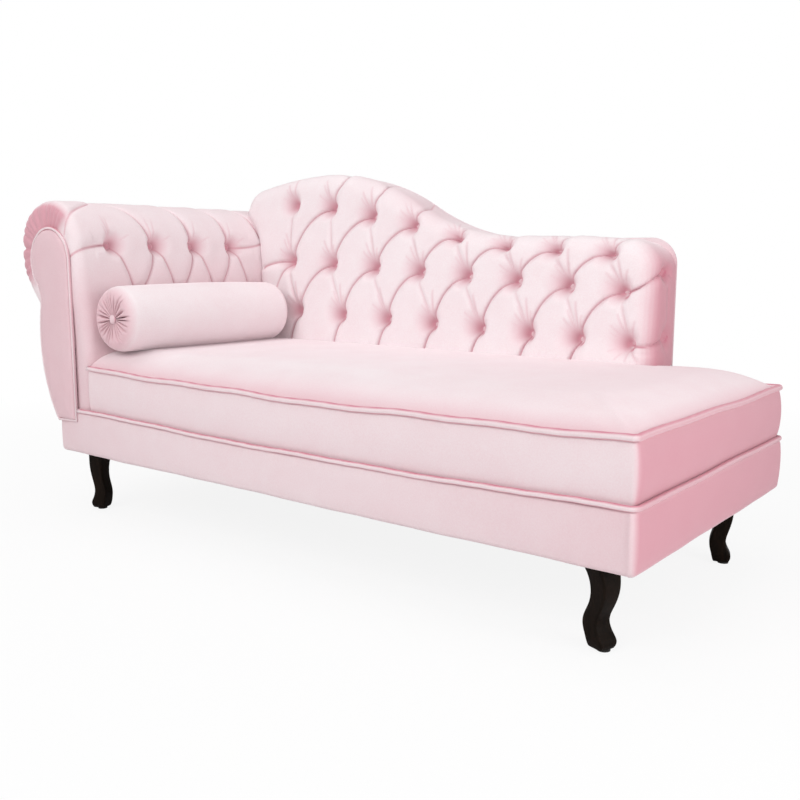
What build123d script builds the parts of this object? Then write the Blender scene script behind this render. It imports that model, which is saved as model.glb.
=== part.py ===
from build123d import *
import os
from math import asin, atan2, cos, degrees, hypot, radians, sin, sqrt, tan

# A recamier: a one-armed chaise with a rolled arm, a serpentine tufted back and a loose bolster.
# X runs along the seat from the arm (-X) to the foot end (+X), -Y is the front and +Z is up.
# The origin is on the floor, in the middle of the overall box. All lengths are millimetres.

# Overall sizes
overall_length = 1936.0
overall_depth = 860.0
leg_height = 179.0
base_height = 125.0
cushion_height = 126.0
seat_crown = 45.0
arm_height = 893.0
arm_width = 295.0
arm_overhang = 153.0
back_height = 992.0
back_low_height = 792.0
back_thickness = 176.0
back_lean = 4.0
foot_end_length = 266.0

# Fits
gap = 0.3
seat_gap = 1.0

# Base and its welt
base_corner_radius = 18.0
base_bottom_round = 8.0
base_padding = 18.0
base_lip_thickness = 6.0
base_lip_width = 100.0
seam_round = 11.0
base_welt_radius = 6.5
seat_set_back = 6.0

# Timber and suspension
rail_thickness = 25.0
cross_rail_count = 2
strap_width = 50.0
strap_thickness = 2.0
cross_strap_count = 11
long_strap_count = 4
deck_thickness = 2.0
dust_cover_thickness = 1.5
dust_cover_lap = 12.0

# Seat cushion
cover_thickness = 8.0
seat_welt_radius = 8.0
seat_draw_in = 3.0
crown_run = 150.0
crown_steps = [(0.14, 0.38), (0.42, 0.76), (1.0, 1.0)]

# Arm
roll_radius = 132.0
arm_pad_thickness = 56.0
facing_thickness = 10.0
facing_radius = 90.0
facing_roll_margin = 77.0
facing_lap = 27.0
facing_waist_inset = 41.0
facing_waist_drop = 115.0
facing_belly_turn = 12.0
facing_foot_inset = 4.0
facing_edge_round = 4.0
facing_welt_radius = 4.0
arm_panel_thickness = 10.0
arm_under_drop = 20.0
arm_front_round = 26.0
stump_thickness = 25.0
liner_thickness = 3.0
arm_rail_size = 45.0

# Back
back_corner_radius = 70.0
back_front_round = 46.0
back_left_lap = 105.0
crest_from_arm = 256.0
serpentine_run = 719.0
shoulder_drop = 26.0
back_wrap = 40.0
back_frame_depth = 45.0
back_post_width = 60.0
back_top_rail_height = 70.0
back_panel_thickness = 8.0

# Tufting
button_radius = 12.0
button_height = 7.0
button_depth = 30.0
dimple_radius = 42.0
pleat_depth = 15.0
pleat_half_width = 44.0
pleat_clear = 20.0
pleat_swell = 0.22
dimple_swell = 0.35
button_rim_share = 0.3
back_button_columns = 8
back_row_heights = [(266.0, 224.0), (426.0, 356.0), (606.0, 457.0)]
back_row_starts = [170.0, 133.0, 139.0]
back_row_ends = [53.0, 78.0, 118.0]
back_row_bows = [48.0, 25.0, 8.0]
back_top_row_ease = 0.8
back_end_buttons = [(106.0, 411.0), (124.0, 236.0)]
arm_button_pitch = 150.0
arm_button_count = 4
arm_first_button = 112.0
arm_upper_row = 300.0
arm_lower_row = 150.0

# Bolster
bolster_radius = 94.0
bolster_length = 598.0
bolster_front_setback = 42.0
bolster_end_round = 22.0
bolster_crown = 4.0
bolster_end_dish = 9.0
bolster_skin = 4.0
bolster_button_radius = 13.0
bolster_button_height = 6.0

# Legs and their fixings
leg_inset = 76.0
rear_leg_inset = 108.0
leg_turn = 20.0
leg_top_width = 54.0
leg_top_depth = 51.0
leg_knee_offset = 9.0
leg_knee_share = 0.88
leg_calf_width = 42.0
leg_calf_depth = 41.0
leg_calf_share = 0.68
leg_ankle_width = 36.0
leg_ankle_depth = 35.0
leg_ankle_offset = -11.0
leg_ankle_share = 0.42
leg_instep_width = 40.0
leg_instep_share = 0.22
leg_foot_width = 46.0
leg_foot_share = 0.12
leg_sole_width = 31.0
leg_corner_radius = 7.0
glide_height = 4.0
glide_radius = 13.0
bolt_radius = 4.0
bolt_fit = 0.4
bolt_depth = 40.0
block_size = 80.0
block_height = 50.0
tee_nut_barrel_radius = 5.5
tee_nut_barrel_length = 12.0
tee_nut_flange_radius = 11.0
tee_nut_flange_thickness = 2.0

# Places worked out from the sizes above
base_bottom = leg_height
base_top = base_bottom + base_height
seat_edge = base_top + cushion_height
seat_top = seat_edge + seat_crown
base_depth = overall_depth - 2 * facing_thickness
base_front = -base_depth / 2
base_rear = base_depth / 2
welt_inset = seat_set_back - base_welt_radius - gap
welt_reach = seam_round + base_welt_radius + gap
welt_z = base_top - seam_round + sqrt(welt_reach**2 - (seam_round - welt_inset) ** 2)
base_left = -overall_length / 2 + arm_overhang
base_right = overall_length / 2 - base_welt_radius + welt_inset
base_length = base_right - base_left
base_middle = (base_left + base_right) / 2
rail_bottom = base_bottom + base_lip_thickness
rail_height = base_top - rail_bottom
rail_left = base_left + base_padding
rail_right = base_right - base_padding
rail_front = base_front + base_padding
rail_rear = base_rear - base_padding
arm_inner = -overall_length / 2 + arm_width
arm_front = base_front + seat_set_back
arm_length = base_rear - arm_front
roll_x = -overall_length / 2 + roll_radius
roll_z = arm_height - roll_radius
facing_right = arm_inner - arm_pad_thickness
facing_top = arm_height - facing_roll_margin
facing_bottom = base_top - facing_lap
waist_x = facing_right - 2 * facing_radius + facing_waist_inset
waist_z = facing_top - facing_radius - facing_waist_drop
under_roll = (waist_x - arm_panel_thickness, waist_z - arm_under_drop)
back_rear = base_rear - seat_set_back
back_front = back_rear - back_thickness
back_right = base_right - foot_end_length
back_left = arm_inner - back_left_lap
back_panel_front = back_rear - back_panel_thickness
back_frame_front = back_panel_front - back_frame_depth
back_liner_front = back_frame_front - liner_thickness
crest_x = arm_inner + crest_from_arm
serpentine_rise = back_height - back_low_height
lean_slope = tan(radians(back_lean))
seat_left = arm_inner + gap
seat_right = base_right - seat_set_back
seat_front = base_front + seat_set_back
seat_rear = base_rear - seat_set_back
seat_corner_radius = base_corner_radius - seat_set_back
deck_bottom = base_top + 2 * strap_thickness
foam_bottom = deck_bottom + deck_thickness
seat_back_rail_rear = back_front - gap
back_face = Plane(
    origin=(0, back_front, base_top),
    x_dir=(1, 0, 0),
    z_dir=(0, -cos(radians(back_lean)), sin(radians(back_lean))),
)

os.makedirs("parts", exist_ok=True)


def write(piece, label):
    """Label a finished sub-part and write it as one STEP file."""
    piece.part.label = label
    export_step(piece.part, f"parts/{label}.step")


def upright(y):
    """Front-view plane at depth y: its local axes are X and Z, and it extrudes towards the front."""
    return Plane.XZ.offset(-y)


def box_piece(label, low, high):
    """A plain timber or cloth piece between two opposite corners."""
    size = [b - a for a, b in zip(low, high)]
    middle = tuple((a + b) / 2 for a, b in zip(low, high))
    with BuildPart() as piece:
        with Locations(middle):
            Box(*size)
    write(piece, label)


# Seat frame rails: the end rails stand between the long rails
box_piece(
    "seat_front_rail",
    (rail_left, rail_front, rail_bottom),
    (rail_right, rail_front + rail_thickness, base_top),
)
box_piece(
    "seat_rear_rail",
    (rail_left, rail_rear - rail_thickness, rail_bottom),
    (rail_right, rail_rear, base_top),
)
box_piece(
    "seat_left_rail",
    (rail_left, rail_front + rail_thickness, rail_bottom),
    (rail_left + rail_thickness, rail_rear - rail_thickness, base_top),
)
box_piece(
    "seat_right_rail",
    (rail_right - rail_thickness, rail_front + rail_thickness, rail_bottom),
    (rail_right, rail_rear - rail_thickness, base_top),
)
box_piece(
    "seat_back_rail",
    (rail_left + rail_thickness, seat_back_rail_rear - rail_thickness, rail_bottom + block_height),
    (rail_right - rail_thickness, seat_back_rail_rear, base_top),
)

# Cross rails under the long straps, from the front rail to the rear rail, below the seat back rail
cross_rail_span = (rail_right - rail_left) / (cross_rail_count + 1)
cross_rail_length = rail_rear - rail_front - 2 * rail_thickness
with BuildPart() as seat_cross_rails:
    with BuildSketch(Plane.XY.offset(rail_bottom)):
        with Locations((base_middle, 0)):
            with GridLocations(cross_rail_span, 0, cross_rail_count, 1):
                Rectangle(block_size, cross_rail_length)
    extrude(amount=block_height)
write(seat_cross_rails, "seat_cross_rails")

# Legs stand at the four base corners, each with a bolt through the cover lip into a corner block
leg_spots = {
    "leg_front_left": (base_left + leg_inset, base_front + leg_inset, 180 + leg_turn),
    "leg_front_right": (base_right - leg_inset, base_front + leg_inset, -leg_turn),
    "leg_rear_left": (base_left + leg_inset, base_rear - rear_leg_inset, 180 - leg_turn),
    "leg_rear_right": (base_right - leg_inset, base_rear - rear_leg_inset, leg_turn),
}
leg_centres = [(x, y) for x, y, turn in leg_spots.values()]
block_reach_x = (rail_right - rail_left) / 2 - rail_thickness - block_size / 2
block_reach_y = (rail_rear - rail_front) / 2 - rail_thickness - block_size / 2
block_centres = [
    (base_middle + side_x * block_reach_x, side_y * block_reach_y)
    for side_x in (-1, 1)
    for side_y in (-1, 1)
]
block_top = rail_bottom + block_height
with BuildPart() as leg_blocks:
    with BuildSketch(Plane.XY.offset(rail_bottom)):
        with Locations(block_centres):
            Rectangle(block_size, block_size)
        with Locations(leg_centres):
            Circle(bolt_radius + bolt_fit, mode=Mode.SUBTRACT)
    extrude(amount=block_height)
    with BuildSketch(Plane.XY.offset(block_top - tee_nut_barrel_length)):
        with Locations(leg_centres):
            Circle(tee_nut_barrel_radius + gap)
    extrude(amount=tee_nut_barrel_length, mode=Mode.SUBTRACT)
write(leg_blocks, "leg_blocks")

with BuildPart() as leg_tee_nuts:
    with BuildSketch(Plane.XY.offset(block_top - tee_nut_barrel_length)):
        with Locations(leg_centres):
            Circle(tee_nut_barrel_radius)
    extrude(amount=tee_nut_barrel_length)
    with BuildSketch(Plane.XY.offset(block_top)):
        with Locations(leg_centres):
            Circle(tee_nut_flange_radius)
    extrude(amount=tee_nut_flange_thickness)
    with BuildSketch(Plane.XY.offset(block_top - tee_nut_barrel_length)):
        with Locations(leg_centres):
            Circle(bolt_radius + gap)
    extrude(amount=tee_nut_barrel_length + tee_nut_flange_thickness, mode=Mode.SUBTRACT)
write(leg_tee_nuts, "leg_tee_nuts")

with BuildPart() as leg_bolts:
    with BuildSketch(Plane.XY.offset(leg_height - bolt_depth)):
        with Locations(leg_centres):
            Circle(bolt_radius)
    extrude(amount=bolt_depth + block_top + tee_nut_flange_thickness - leg_height)
write(leg_bolts, "leg_bolts")

with BuildPart() as leg_glides:
    with BuildSketch(Plane.XY):
        with Locations(leg_centres):
            Circle(glide_radius)
    extrude(amount=glide_height)
write(leg_glides, "leg_glides")


# Width, depth, outward offset and share of the height of each section of a leg, from its sole up
leg_sections = [
    (leg_sole_width, leg_sole_width, 0, 0),
    (leg_foot_width, leg_foot_width, 0, leg_foot_share),
    (leg_instep_width, leg_instep_width, leg_ankle_offset / 2, leg_instep_share),
    (leg_ankle_width, leg_ankle_depth, leg_ankle_offset, leg_ankle_share),
    (leg_calf_width, leg_calf_depth, 0, leg_calf_share),
    (leg_top_width, leg_top_depth, leg_knee_offset, leg_knee_share),
    (leg_top_width, leg_top_depth, 0, 1),
]


# Cabriole legs: rounded sections drawn along a shallow S that leans out at the knee
for leg_name, (leg_x, leg_y, outward) in leg_spots.items():
    sections = []
    for width, depth, offset_out, height_share in leg_sections:
        spot = Plane(
            origin=(
                leg_x + offset_out * cos(radians(outward)),
                leg_y + offset_out * sin(radians(outward)),
                glide_height + height_share * (leg_height - glide_height),
            ),
            x_dir=(cos(radians(outward)), sin(radians(outward)), 0),
            z_dir=(0, 0, 1),
        )
        with BuildSketch(spot) as section:
            RectangleRounded(depth, width, leg_corner_radius)
        sections.append(section.sketch)
    with BuildPart() as leg:
        loft(sections)
        with BuildSketch(Plane.XY.offset(leg_height - bolt_depth)):
            with Locations((leg_x, leg_y)):
                Circle(bolt_radius + gap)
        extrude(amount=bolt_depth, mode=Mode.SUBTRACT)
    write(leg, leg_name)

# Padded band round the rails, turned under them in a lip that the legs clamp
with BuildPart() as base_cover:
    with BuildSketch(Plane.XY.offset(base_bottom)):
        with Locations((base_middle, 0)):
            RectangleRounded(base_length, base_depth, base_corner_radius)
    extrude(amount=base_height)
    fillet(base_cover.edges().group_by(Axis.Z)[0], base_bottom_round)
    fillet(base_cover.edges().group_by(Axis.Z)[-1], seam_round)
    with BuildSketch(Plane.XY.offset(rail_bottom)):
        with Locations((base_middle, 0)):
            Rectangle(rail_right - rail_left, rail_rear - rail_front)
    extrude(amount=rail_height, mode=Mode.SUBTRACT)
    with BuildSketch(Plane.XY.offset(base_bottom)):
        with Locations((base_middle, 0)):
            Rectangle(
                rail_right - rail_left - 2 * base_lip_width,
                rail_rear - rail_front - 2 * base_lip_width,
            )
        with Locations(leg_centres):
            Circle(bolt_radius + bolt_fit)
    extrude(amount=base_lip_thickness, mode=Mode.SUBTRACT)
write(base_cover, "base_cover")

box_piece(
    "dust_cover",
    (
        rail_left + base_lip_width - dust_cover_lap,
        rail_front + base_lip_width - dust_cover_lap,
        base_bottom - dust_cover_thickness,
    ),
    (
        rail_right - base_lip_width + dust_cover_lap,
        rail_rear - base_lip_width + dust_cover_lap,
        base_bottom,
    ),
)


def edge_path(inset, z, front_start, rear_end):
    """Open route along the front, round the foot end and back along the rear, inset from the base."""
    right = base_right - inset
    front = base_front + inset
    with BuildLine() as route:
        FilletPolyline(
            (front_start, front, z),
            (right, front, z),
            (right, -front, z),
            (rear_end, -front, z),
            radius=base_corner_radius - inset,
        )
    return route.line


def welt(path, radius):
    """A round cord swept along an open route."""
    with BuildSketch(Plane(path @ 0, z_dir=path % 0)) as section:
        Circle(radius)
    return sweep(section.sketch, path, mode=Mode.PRIVATE)


base_welt_start = facing_right + 2 * facing_welt_radius + seat_gap
with BuildPart() as base_welt:
    add(welt(edge_path(welt_inset, welt_z, base_welt_start, arm_inner + gap), base_welt_radius))
write(base_welt, "base_welt")


def seat_section(inset, z):
    """Plan of the seat at height z: straight against the arm, rounded at the two free corners."""
    with BuildSketch(Plane.XY.offset(z)) as plan:
        with Locations(((seat_left + seat_right - inset) / 2, 0)):
            Rectangle(seat_right - inset - seat_left, seat_rear - seat_front - 2 * inset)
        fillet(plan.vertices().group_by(Axis.X)[-1], seat_corner_radius)
    return plan.sketch


def cushion_form(skin, bottom, mode):
    """Boxed sides drawn in between the welts, under a crown that rises quickly from the free edges."""
    boxing = [
        seat_section(skin, bottom),
        seat_section(skin + seat_draw_in, (bottom + seat_edge) / 2),
        seat_section(skin, seat_edge),
    ]
    crown = [seat_section(skin, seat_edge)]
    for run_share, rise_share in crown_steps:
        rise = rise_share * (seat_crown - skin)
        crown.append(seat_section(skin + run_share * crown_run, seat_edge + rise))
    loft(boxing, mode=mode)
    loft(crown, mode=mode)


def back_notch(clearance):
    """Space behind the leaning face of the back, which the seat is cut round."""
    reach = back_height - base_top
    with BuildPart() as notch:
        with BuildSketch(Plane.YZ.offset(arm_inner - clearance)):
            with BuildLine():
                Polyline(
                    (back_front - clearance, base_top - 1),
                    (back_front - clearance + reach * lean_slope, base_top + reach),
                    (base_rear + base_depth, base_top + reach),
                    (base_rear + base_depth, base_top - 1),
                    close=True,
                )
            make_face()
        extrude(amount=back_right - arm_inner + 2 * clearance)
    return notch.part


seat_welt_path = edge_path(seat_set_back, seat_edge, seat_left, back_right + gap)
with BuildPart() as seat_cover:
    cushion_form(0, base_top, Mode.ADD)
    cushion_form(cover_thickness, base_top, Mode.SUBTRACT)
    add(back_notch(gap), mode=Mode.SUBTRACT)
    add(welt(seat_welt_path, seat_welt_radius + gap), mode=Mode.SUBTRACT)
write(seat_cover, "seat_cover")

with BuildPart() as seat_foam:
    cushion_form(cover_thickness + gap, base_top, Mode.ADD)
    split(bisect_by=Plane.XY.offset(foam_bottom), keep=Keep.TOP)
    add(back_notch(gap), mode=Mode.SUBTRACT)
write(seat_foam, "seat_foam")

with BuildPart() as seat_welt:
    add(welt(seat_welt_path, seat_welt_radius))
write(seat_welt, "seat_welt")

# Elastic straps: short ones across the frame, long ones laid over them, and a deck cloth on top
strap_front = rail_front + gap
cross_strap_step = (rail_right - seat_left - 2 * strap_width) / (cross_strap_count - 1)
with BuildPart() as seat_cross_webbing:
    for strap in range(cross_strap_count):
        strap_x = seat_left + cover_thickness + strap_width / 2 + strap * cross_strap_step
        beyond_back = strap_x - strap_width / 2 > back_right + seat_gap
        strap_rear = rail_rear - gap if beyond_back else seat_back_rail_rear - gap
        with BuildSketch(Plane.XY.offset(base_top)):
            with Locations((strap_x, (strap_front + strap_rear) / 2)):
                Rectangle(strap_width, strap_rear - strap_front)
        extrude(amount=strap_thickness)
write(seat_cross_webbing, "seat_cross_webbing")

long_strap_pitch = (back_front - rail_front - strap_width) / long_strap_count
long_strap_left = seat_left + cover_thickness + gap
with BuildPart() as seat_long_webbing:
    with BuildSketch(Plane.XY.offset(base_top + strap_thickness)):
        with Locations(((long_strap_left + rail_right) / 2, (rail_front + back_front) / 2)):
            with GridLocations(0, long_strap_pitch, 1, long_strap_count):
                Rectangle(rail_right - long_strap_left, strap_width)
    extrude(amount=strap_thickness)
write(seat_long_webbing, "seat_long_webbing")

with BuildPart() as seat_deck_cloth:
    extrude(seat_section(cover_thickness + seat_draw_in + seat_gap, deck_bottom), amount=deck_thickness)
    add(back_notch(seat_gap), mode=Mode.SUBTRACT)
write(seat_deck_cloth, "seat_deck_cloth")


def facing_outline():
    """Front view of the arm facing: a round scroll, a drawn-in waist and a belly that runs in to the base."""
    scroll_z = facing_top - facing_radius
    waist_radius = (facing_waist_inset**2 + facing_waist_drop**2) / (4 * facing_waist_inset)
    waist_turn = 2 * degrees(atan2(facing_waist_inset, facing_waist_drop))
    foot = (base_left + facing_foot_inset, facing_bottom)
    with BuildSketch() as outline:
        with BuildLine():
            side = Line((facing_right, facing_bottom), (facing_right, scroll_z))
            scroll = JernArc(side @ 1, (0, 1), facing_radius, 180)
            upper = JernArc(scroll @ 1, (0, -1), waist_radius, waist_turn)
            lower = JernArc(upper @ 1, upper % 1, waist_radius, -waist_turn - facing_belly_turn)
            TangentArc(lower @ 1, foot, tangent=lower % 1)
            Line(foot, side @ 0)
        make_face()
    return outline.sketch


def tangent_point(start, side):
    """Point where a line from start touches the roll, on its right (side 1) or left (side -1)."""
    reach = hypot(roll_x - start[0], roll_z - start[1])
    heading = atan2(roll_z - start[1], roll_x - start[0]) - side * asin(roll_radius / reach)
    length = sqrt(reach**2 - roll_radius**2)
    return (start[0] + length * cos(heading), start[1] + length * sin(heading))


arm_shoulder = (arm_inner, seat_top)
roll_inner_touch = tangent_point(arm_shoulder, 1)
roll_outer_touch = tangent_point(under_roll, -1)


def arm_outline(outer_x):
    """Front view of the padded arm: the inside face, over the roll, under it, and down to the base."""
    with BuildSketch() as outline:
        with BuildLine():
            Polyline((outer_x, base_top), (arm_inner, base_top), arm_shoulder, roll_inner_touch)
            ThreePointArc(roll_inner_touch, (roll_x, arm_height), roll_outer_touch)
            Polyline(roll_outer_touch, under_roll, (outer_x, under_roll[1]), (outer_x, base_top))
        make_face()
    return outline.sketch


def arm_section(grow):
    """The facing outline grown by an amount and kept above the base, for the pieces inside the arm."""
    with BuildSketch() as outline:
        add(facing_outline())
        offset(amount=grow)
        with Locations((waist_x, base_top)):
            Rectangle(overall_length, arm_height, align=(Align.CENTER, Align.MIN), mode=Mode.INTERSECT)
    return outline.sketch


def arm_board(label, rear, thickness, outline):
    """A board or panel of one outline, with its back face at depth rear."""
    with BuildPart() as piece:
        with BuildSketch(upright(rear)):
            add(outline)
        extrude(amount=thickness)
    write(piece, label)


# Arm frame: two scroll-cut stumps, the rails between them, and a board bent over the stumps
stump_outline = arm_section(-liner_thickness - 2 * gap)
arm_board("arm_front_stump", arm_front + stump_thickness, stump_thickness, stump_outline)
arm_board("arm_rear_stump", base_rear, stump_thickness, stump_outline)
arm_rail_front = arm_front + stump_thickness
arm_rail_rear = base_rear - stump_thickness
scroll_x = facing_right - facing_radius
scroll_z = facing_top - facing_radius
tack_right = facing_right - liner_thickness - 2 * gap
for rail_label, rail_x, rail_z in (
    ("arm_roll_rail", scroll_x, scroll_z),
    ("arm_tack_rail", tack_right - arm_rail_size / 2, seat_top),
    ("arm_bottom_rail", tack_right - arm_rail_size / 2, base_top + arm_rail_size / 2),
):
    box_piece(
        rail_label,
        (rail_x - arm_rail_size / 2, arm_rail_front, rail_z - arm_rail_size / 2),
        (rail_x + arm_rail_size / 2, arm_rail_rear, rail_z + arm_rail_size / 2),
    )

with BuildPart() as arm_liner:
    with BuildSketch(upright(base_rear)):
        add(arm_section(-gap))
        add(arm_section(-gap - liner_thickness), mode=Mode.SUBTRACT)
        with Locations((tack_right - arm_rail_size, waist_z)):
            Rectangle(overall_length, arm_height, align=(Align.MAX, Align.MAX), mode=Mode.SUBTRACT)
    extrude(amount=arm_length)
write(arm_liner, "arm_liner")


def pleat_section():
    """Valley between two rounded puffs, with its floor at the origin's depth and open above."""
    with BuildSketch() as valley:
        with BuildLine():
            left = (-pleat_half_width, gap)
            right = (pleat_half_width, gap)
            floor = (0, -pleat_depth)
            ThreePointArc(left, (-pleat_half_width / 2, -pleat_swell * pleat_depth), floor)
            ThreePointArc(floor, (pleat_half_width / 2, -pleat_swell * pleat_depth), right)
            Polyline(right, (pleat_half_width, pleat_clear), (-pleat_half_width, pleat_clear), left)
        make_face()
    return valley.sketch


def straight_pleat(face, start, end):
    """Cutter for one pleat between two points of a flat face, given in the face's own axes."""
    a = face.from_local_coords(Vector(*start, 0))
    b = face.from_local_coords(Vector(*end, 0))
    along = (b - a).normalized()
    with BuildPart() as cutter:
        with BuildSketch(Plane(origin=a, x_dir=face.z_dir.cross(along), z_dir=along)):
            add(pleat_section())
        extrude(amount=(b - a).length)
    return cutter.part


def dimple(face, spot):
    """Cutter for the funnel that a button draws into a puffed face, with a flat seat for the button."""
    seat = button_radius + gap
    centre = face.from_local_coords(Vector(*spot, 0))
    with BuildPart() as cutter:
        with BuildSketch(Plane(origin=centre, x_dir=face.x_dir, z_dir=-face.y_dir)):
            with BuildLine():
                rim = (dimple_radius, gap)
                Polyline(rim, (dimple_radius, pleat_clear), (0, pleat_clear), (0, -button_depth),
                         (seat, -button_depth))
                bend = (seat + dimple_swell * (dimple_radius - seat), -dimple_swell * button_depth)
                ThreePointArc((seat, -button_depth), bend, rim)
            make_face()
        revolve(axis=Axis(centre, face.z_dir))
    return cutter.part


def dome_profile(radius, height):
    """Half section of a covered button: a short rim under a dome that is level at its crown."""
    rim = button_rim_share * height
    dome_radius = (radius**2 + (height - rim) ** 2) / (2 * (height - rim))
    with BuildSketch() as profile:
        with BuildLine():
            dome = JernArc((0, height), (1, 0), dome_radius, -degrees(asin(radius / dome_radius)))
            Polyline(dome @ 1, (radius, 0), (0, 0), (0, height))
        make_face()
    return profile.sketch


def button(face, spot):
    """A covered button: a low dome that stands on the floor of its dimple."""
    foot = face.from_local_coords(Vector(*spot, -button_depth))
    with BuildPart() as dome:
        with BuildSketch(Plane(origin=foot, x_dir=face.x_dir, z_dir=-face.y_dir)):
            add(dome_profile(button_radius, button_height))
        revolve(axis=Axis(foot, face.z_dir))
    return dome.part


# Inside face of the arm, in the lean from the seat up to the roll: local X runs to the rear
arm_lean = Vector(roll_inner_touch[0] - arm_inner, 0, roll_inner_touch[1] - seat_top).normalized()
arm_face = Plane(
    origin=(arm_inner, arm_front, seat_top),
    x_dir=(0, 1, 0),
    z_dir=Vector(0, 1, 0).cross(arm_lean),
)
arm_upper_buttons = [
    (arm_first_button + i * arm_button_pitch, arm_upper_row) for i in range(arm_button_count)
]
arm_lower_buttons = [
    (arm_first_button + (i + 0.5) * arm_button_pitch, arm_lower_row) for i in range(arm_button_count)
]
arm_pleats = list(zip(arm_upper_buttons, arm_lower_buttons))
arm_pleats += list(zip(arm_upper_buttons[1:], arm_lower_buttons))
arm_pleats += [(spot, (spot[0], 0)) for spot in arm_lower_buttons]
roll_start = atan2(roll_inner_touch[1] - roll_z, roll_inner_touch[0] - roll_x)
roll_end = atan2(roll_outer_touch[1] - roll_z, roll_outer_touch[0] - roll_x)
roll_sweep = degrees(roll_end - roll_start) % 360


def roll_pleat(spot):
    """Cutter for one pleat that goes on from an upper button, over the roll and under it."""
    y = arm_front + spot[0]
    outward = Vector(cos(roll_start), 0, sin(roll_start))
    rim = Vector(roll_x, y, roll_z) + roll_radius * outward
    with BuildPart() as cutter:
        with BuildSketch(Plane(origin=rim, x_dir=(0, 1, 0), z_dir=Vector(0, 1, 0).cross(outward))):
            add(pleat_section())
        revolve(axis=Axis((roll_x, y, roll_z), (0, -1, 0)), revolution_arc=roll_sweep)
    return cutter.part


# Tufted pad of the inside arm, carried on over the roll
with BuildPart() as arm_pad:
    with BuildSketch(upright(base_rear)):
        add(arm_outline(scroll_x))
    extrude(amount=arm_length)
    front_edges = arm_pad.faces().sort_by(Axis.Y)[0].edges()
    rounded = [e for e in front_edges if (e @ 0.5).X > arm_inner - 1 or (e @ 0.5).Z > under_roll[1] + 1]
    fillet(rounded, arm_front_round)
    with BuildSketch(upright(base_rear)):
        add(facing_outline())
    extrude(amount=arm_length, mode=Mode.SUBTRACT)
    for pleat_start, pleat_end in arm_pleats:
        add(straight_pleat(arm_face, pleat_start, pleat_end), mode=Mode.SUBTRACT)
    for spot in arm_upper_buttons:
        add(roll_pleat(spot), mode=Mode.SUBTRACT)
    for spot in arm_upper_buttons + arm_lower_buttons:
        add(dimple(arm_face, spot), mode=Mode.SUBTRACT)
write(arm_pad, "arm_pad")

with BuildPart() as arm_buttons:
    for spot in arm_upper_buttons + arm_lower_buttons:
        add(button(arm_face, spot))
write(arm_buttons, "arm_buttons")

# Facing on the front stump, lapped down over the base band, with a welt round its edge
with BuildPart() as arm_facing:
    with BuildSketch(upright(base_front)):
        add(facing_outline())
    extrude(amount=facing_thickness)
    fillet(arm_facing.faces().sort_by(Axis.Y)[0].edges(), facing_edge_round)
    with BuildSketch(upright(arm_front)):
        add(arm_section(-gap))
    extrude(amount=seat_set_back)
write(arm_facing, "arm_facing")

with BuildSketch(upright(base_front - facing_welt_radius - gap)) as facing_welt_route:
    add(facing_outline())
    offset(amount=facing_welt_radius + gap)
with BuildPart() as arm_facing_welt:
    add(welt(facing_welt_route.sketch.face().outer_wire(), facing_welt_radius))
write(arm_facing_welt, "arm_facing_welt")

# Plain panels that close the outside and the rear end of the arm
with BuildPart() as arm_outside_panel:
    with BuildSketch(upright(base_rear)):
        add(facing_outline())
        offset(amount=arm_panel_thickness)
        with BuildSketch(mode=Mode.SUBTRACT):
            add(facing_outline())
            offset(amount=-liner_thickness - gap)
        with Locations((base_left - gap, under_roll[1] - gap)):
            Rectangle(
                overall_length,
                under_roll[1] - gap - facing_bottom,
                align=(Align.MAX, Align.MAX),
                mode=Mode.INTERSECT,
            )
    extrude(amount=arm_length)
write(arm_outside_panel, "arm_outside_panel")

with BuildPart() as arm_rear_panel:
    with BuildSketch(upright(base_rear + facing_thickness)):
        add(arm_outline(scroll_x))
        add(facing_outline())
        offset(amount=-facing_edge_round)
    extrude(amount=facing_thickness)
write(arm_rear_panel, "arm_rear_panel")


def back_outline(bottom):
    """Front view of the back: an upright foot end, a low flat, a serpentine rise and a long shoulder."""
    bend_radius = (serpentine_run**2 + serpentine_rise**2) / (4 * serpentine_rise)
    bend_turn = 2 * degrees(atan2(serpentine_rise, serpentine_run))
    shoulder_run = crest_x - back_left - back_corner_radius
    shoulder_radius = (shoulder_run**2 + shoulder_drop**2) / (2 * shoulder_drop)
    shoulder_turn = degrees(asin(shoulder_run / shoulder_radius))
    with BuildSketch() as outline:
        with BuildLine():
            end = Line((back_right, bottom), (back_right, back_low_height - back_corner_radius))
            corner = JernArc(end @ 1, (0, 1), back_corner_radius, 90)
            flat = Line(corner @ 1, (crest_x + serpentine_run, back_low_height))
            hollow = JernArc(flat @ 1, (-1, 0), bend_radius, -bend_turn)
            crest = JernArc(hollow @ 1, hollow % 1, bend_radius, bend_turn)
            shoulder = JernArc(crest @ 1, crest % 1, shoulder_radius, shoulder_turn)
            left = JernArc(shoulder @ 1, shoulder % 1, back_corner_radius, 90 - shoulder_turn)
            Polyline(left @ 1, ((left @ 1).X, bottom), end @ 0)
        make_face()
    return outline.sketch


frame_left = arm_inner + cover_thickness + gap
frame_right = back_right - back_wrap


def back_frame_section(shrink):
    """Front view of the timber frame inside the back pad, standing on the seat frame."""
    with BuildSketch() as outline:
        add(back_outline(base_top - back_wrap))
        offset(amount=-back_wrap - shrink)
        with Locations((frame_left + shrink, base_top)):
            Rectangle(
                overall_length, back_height, align=(Align.MIN, Align.MIN), mode=Mode.INTERSECT
            )
    return outline.sketch


def back_frame_piece(label, outline):
    """A frame member of one outline, as deep as the back frame."""
    with BuildPart() as piece:
        with BuildSketch(upright(back_panel_front)):
            add(outline)
        extrude(amount=back_frame_depth)
    write(piece, label)


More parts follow.
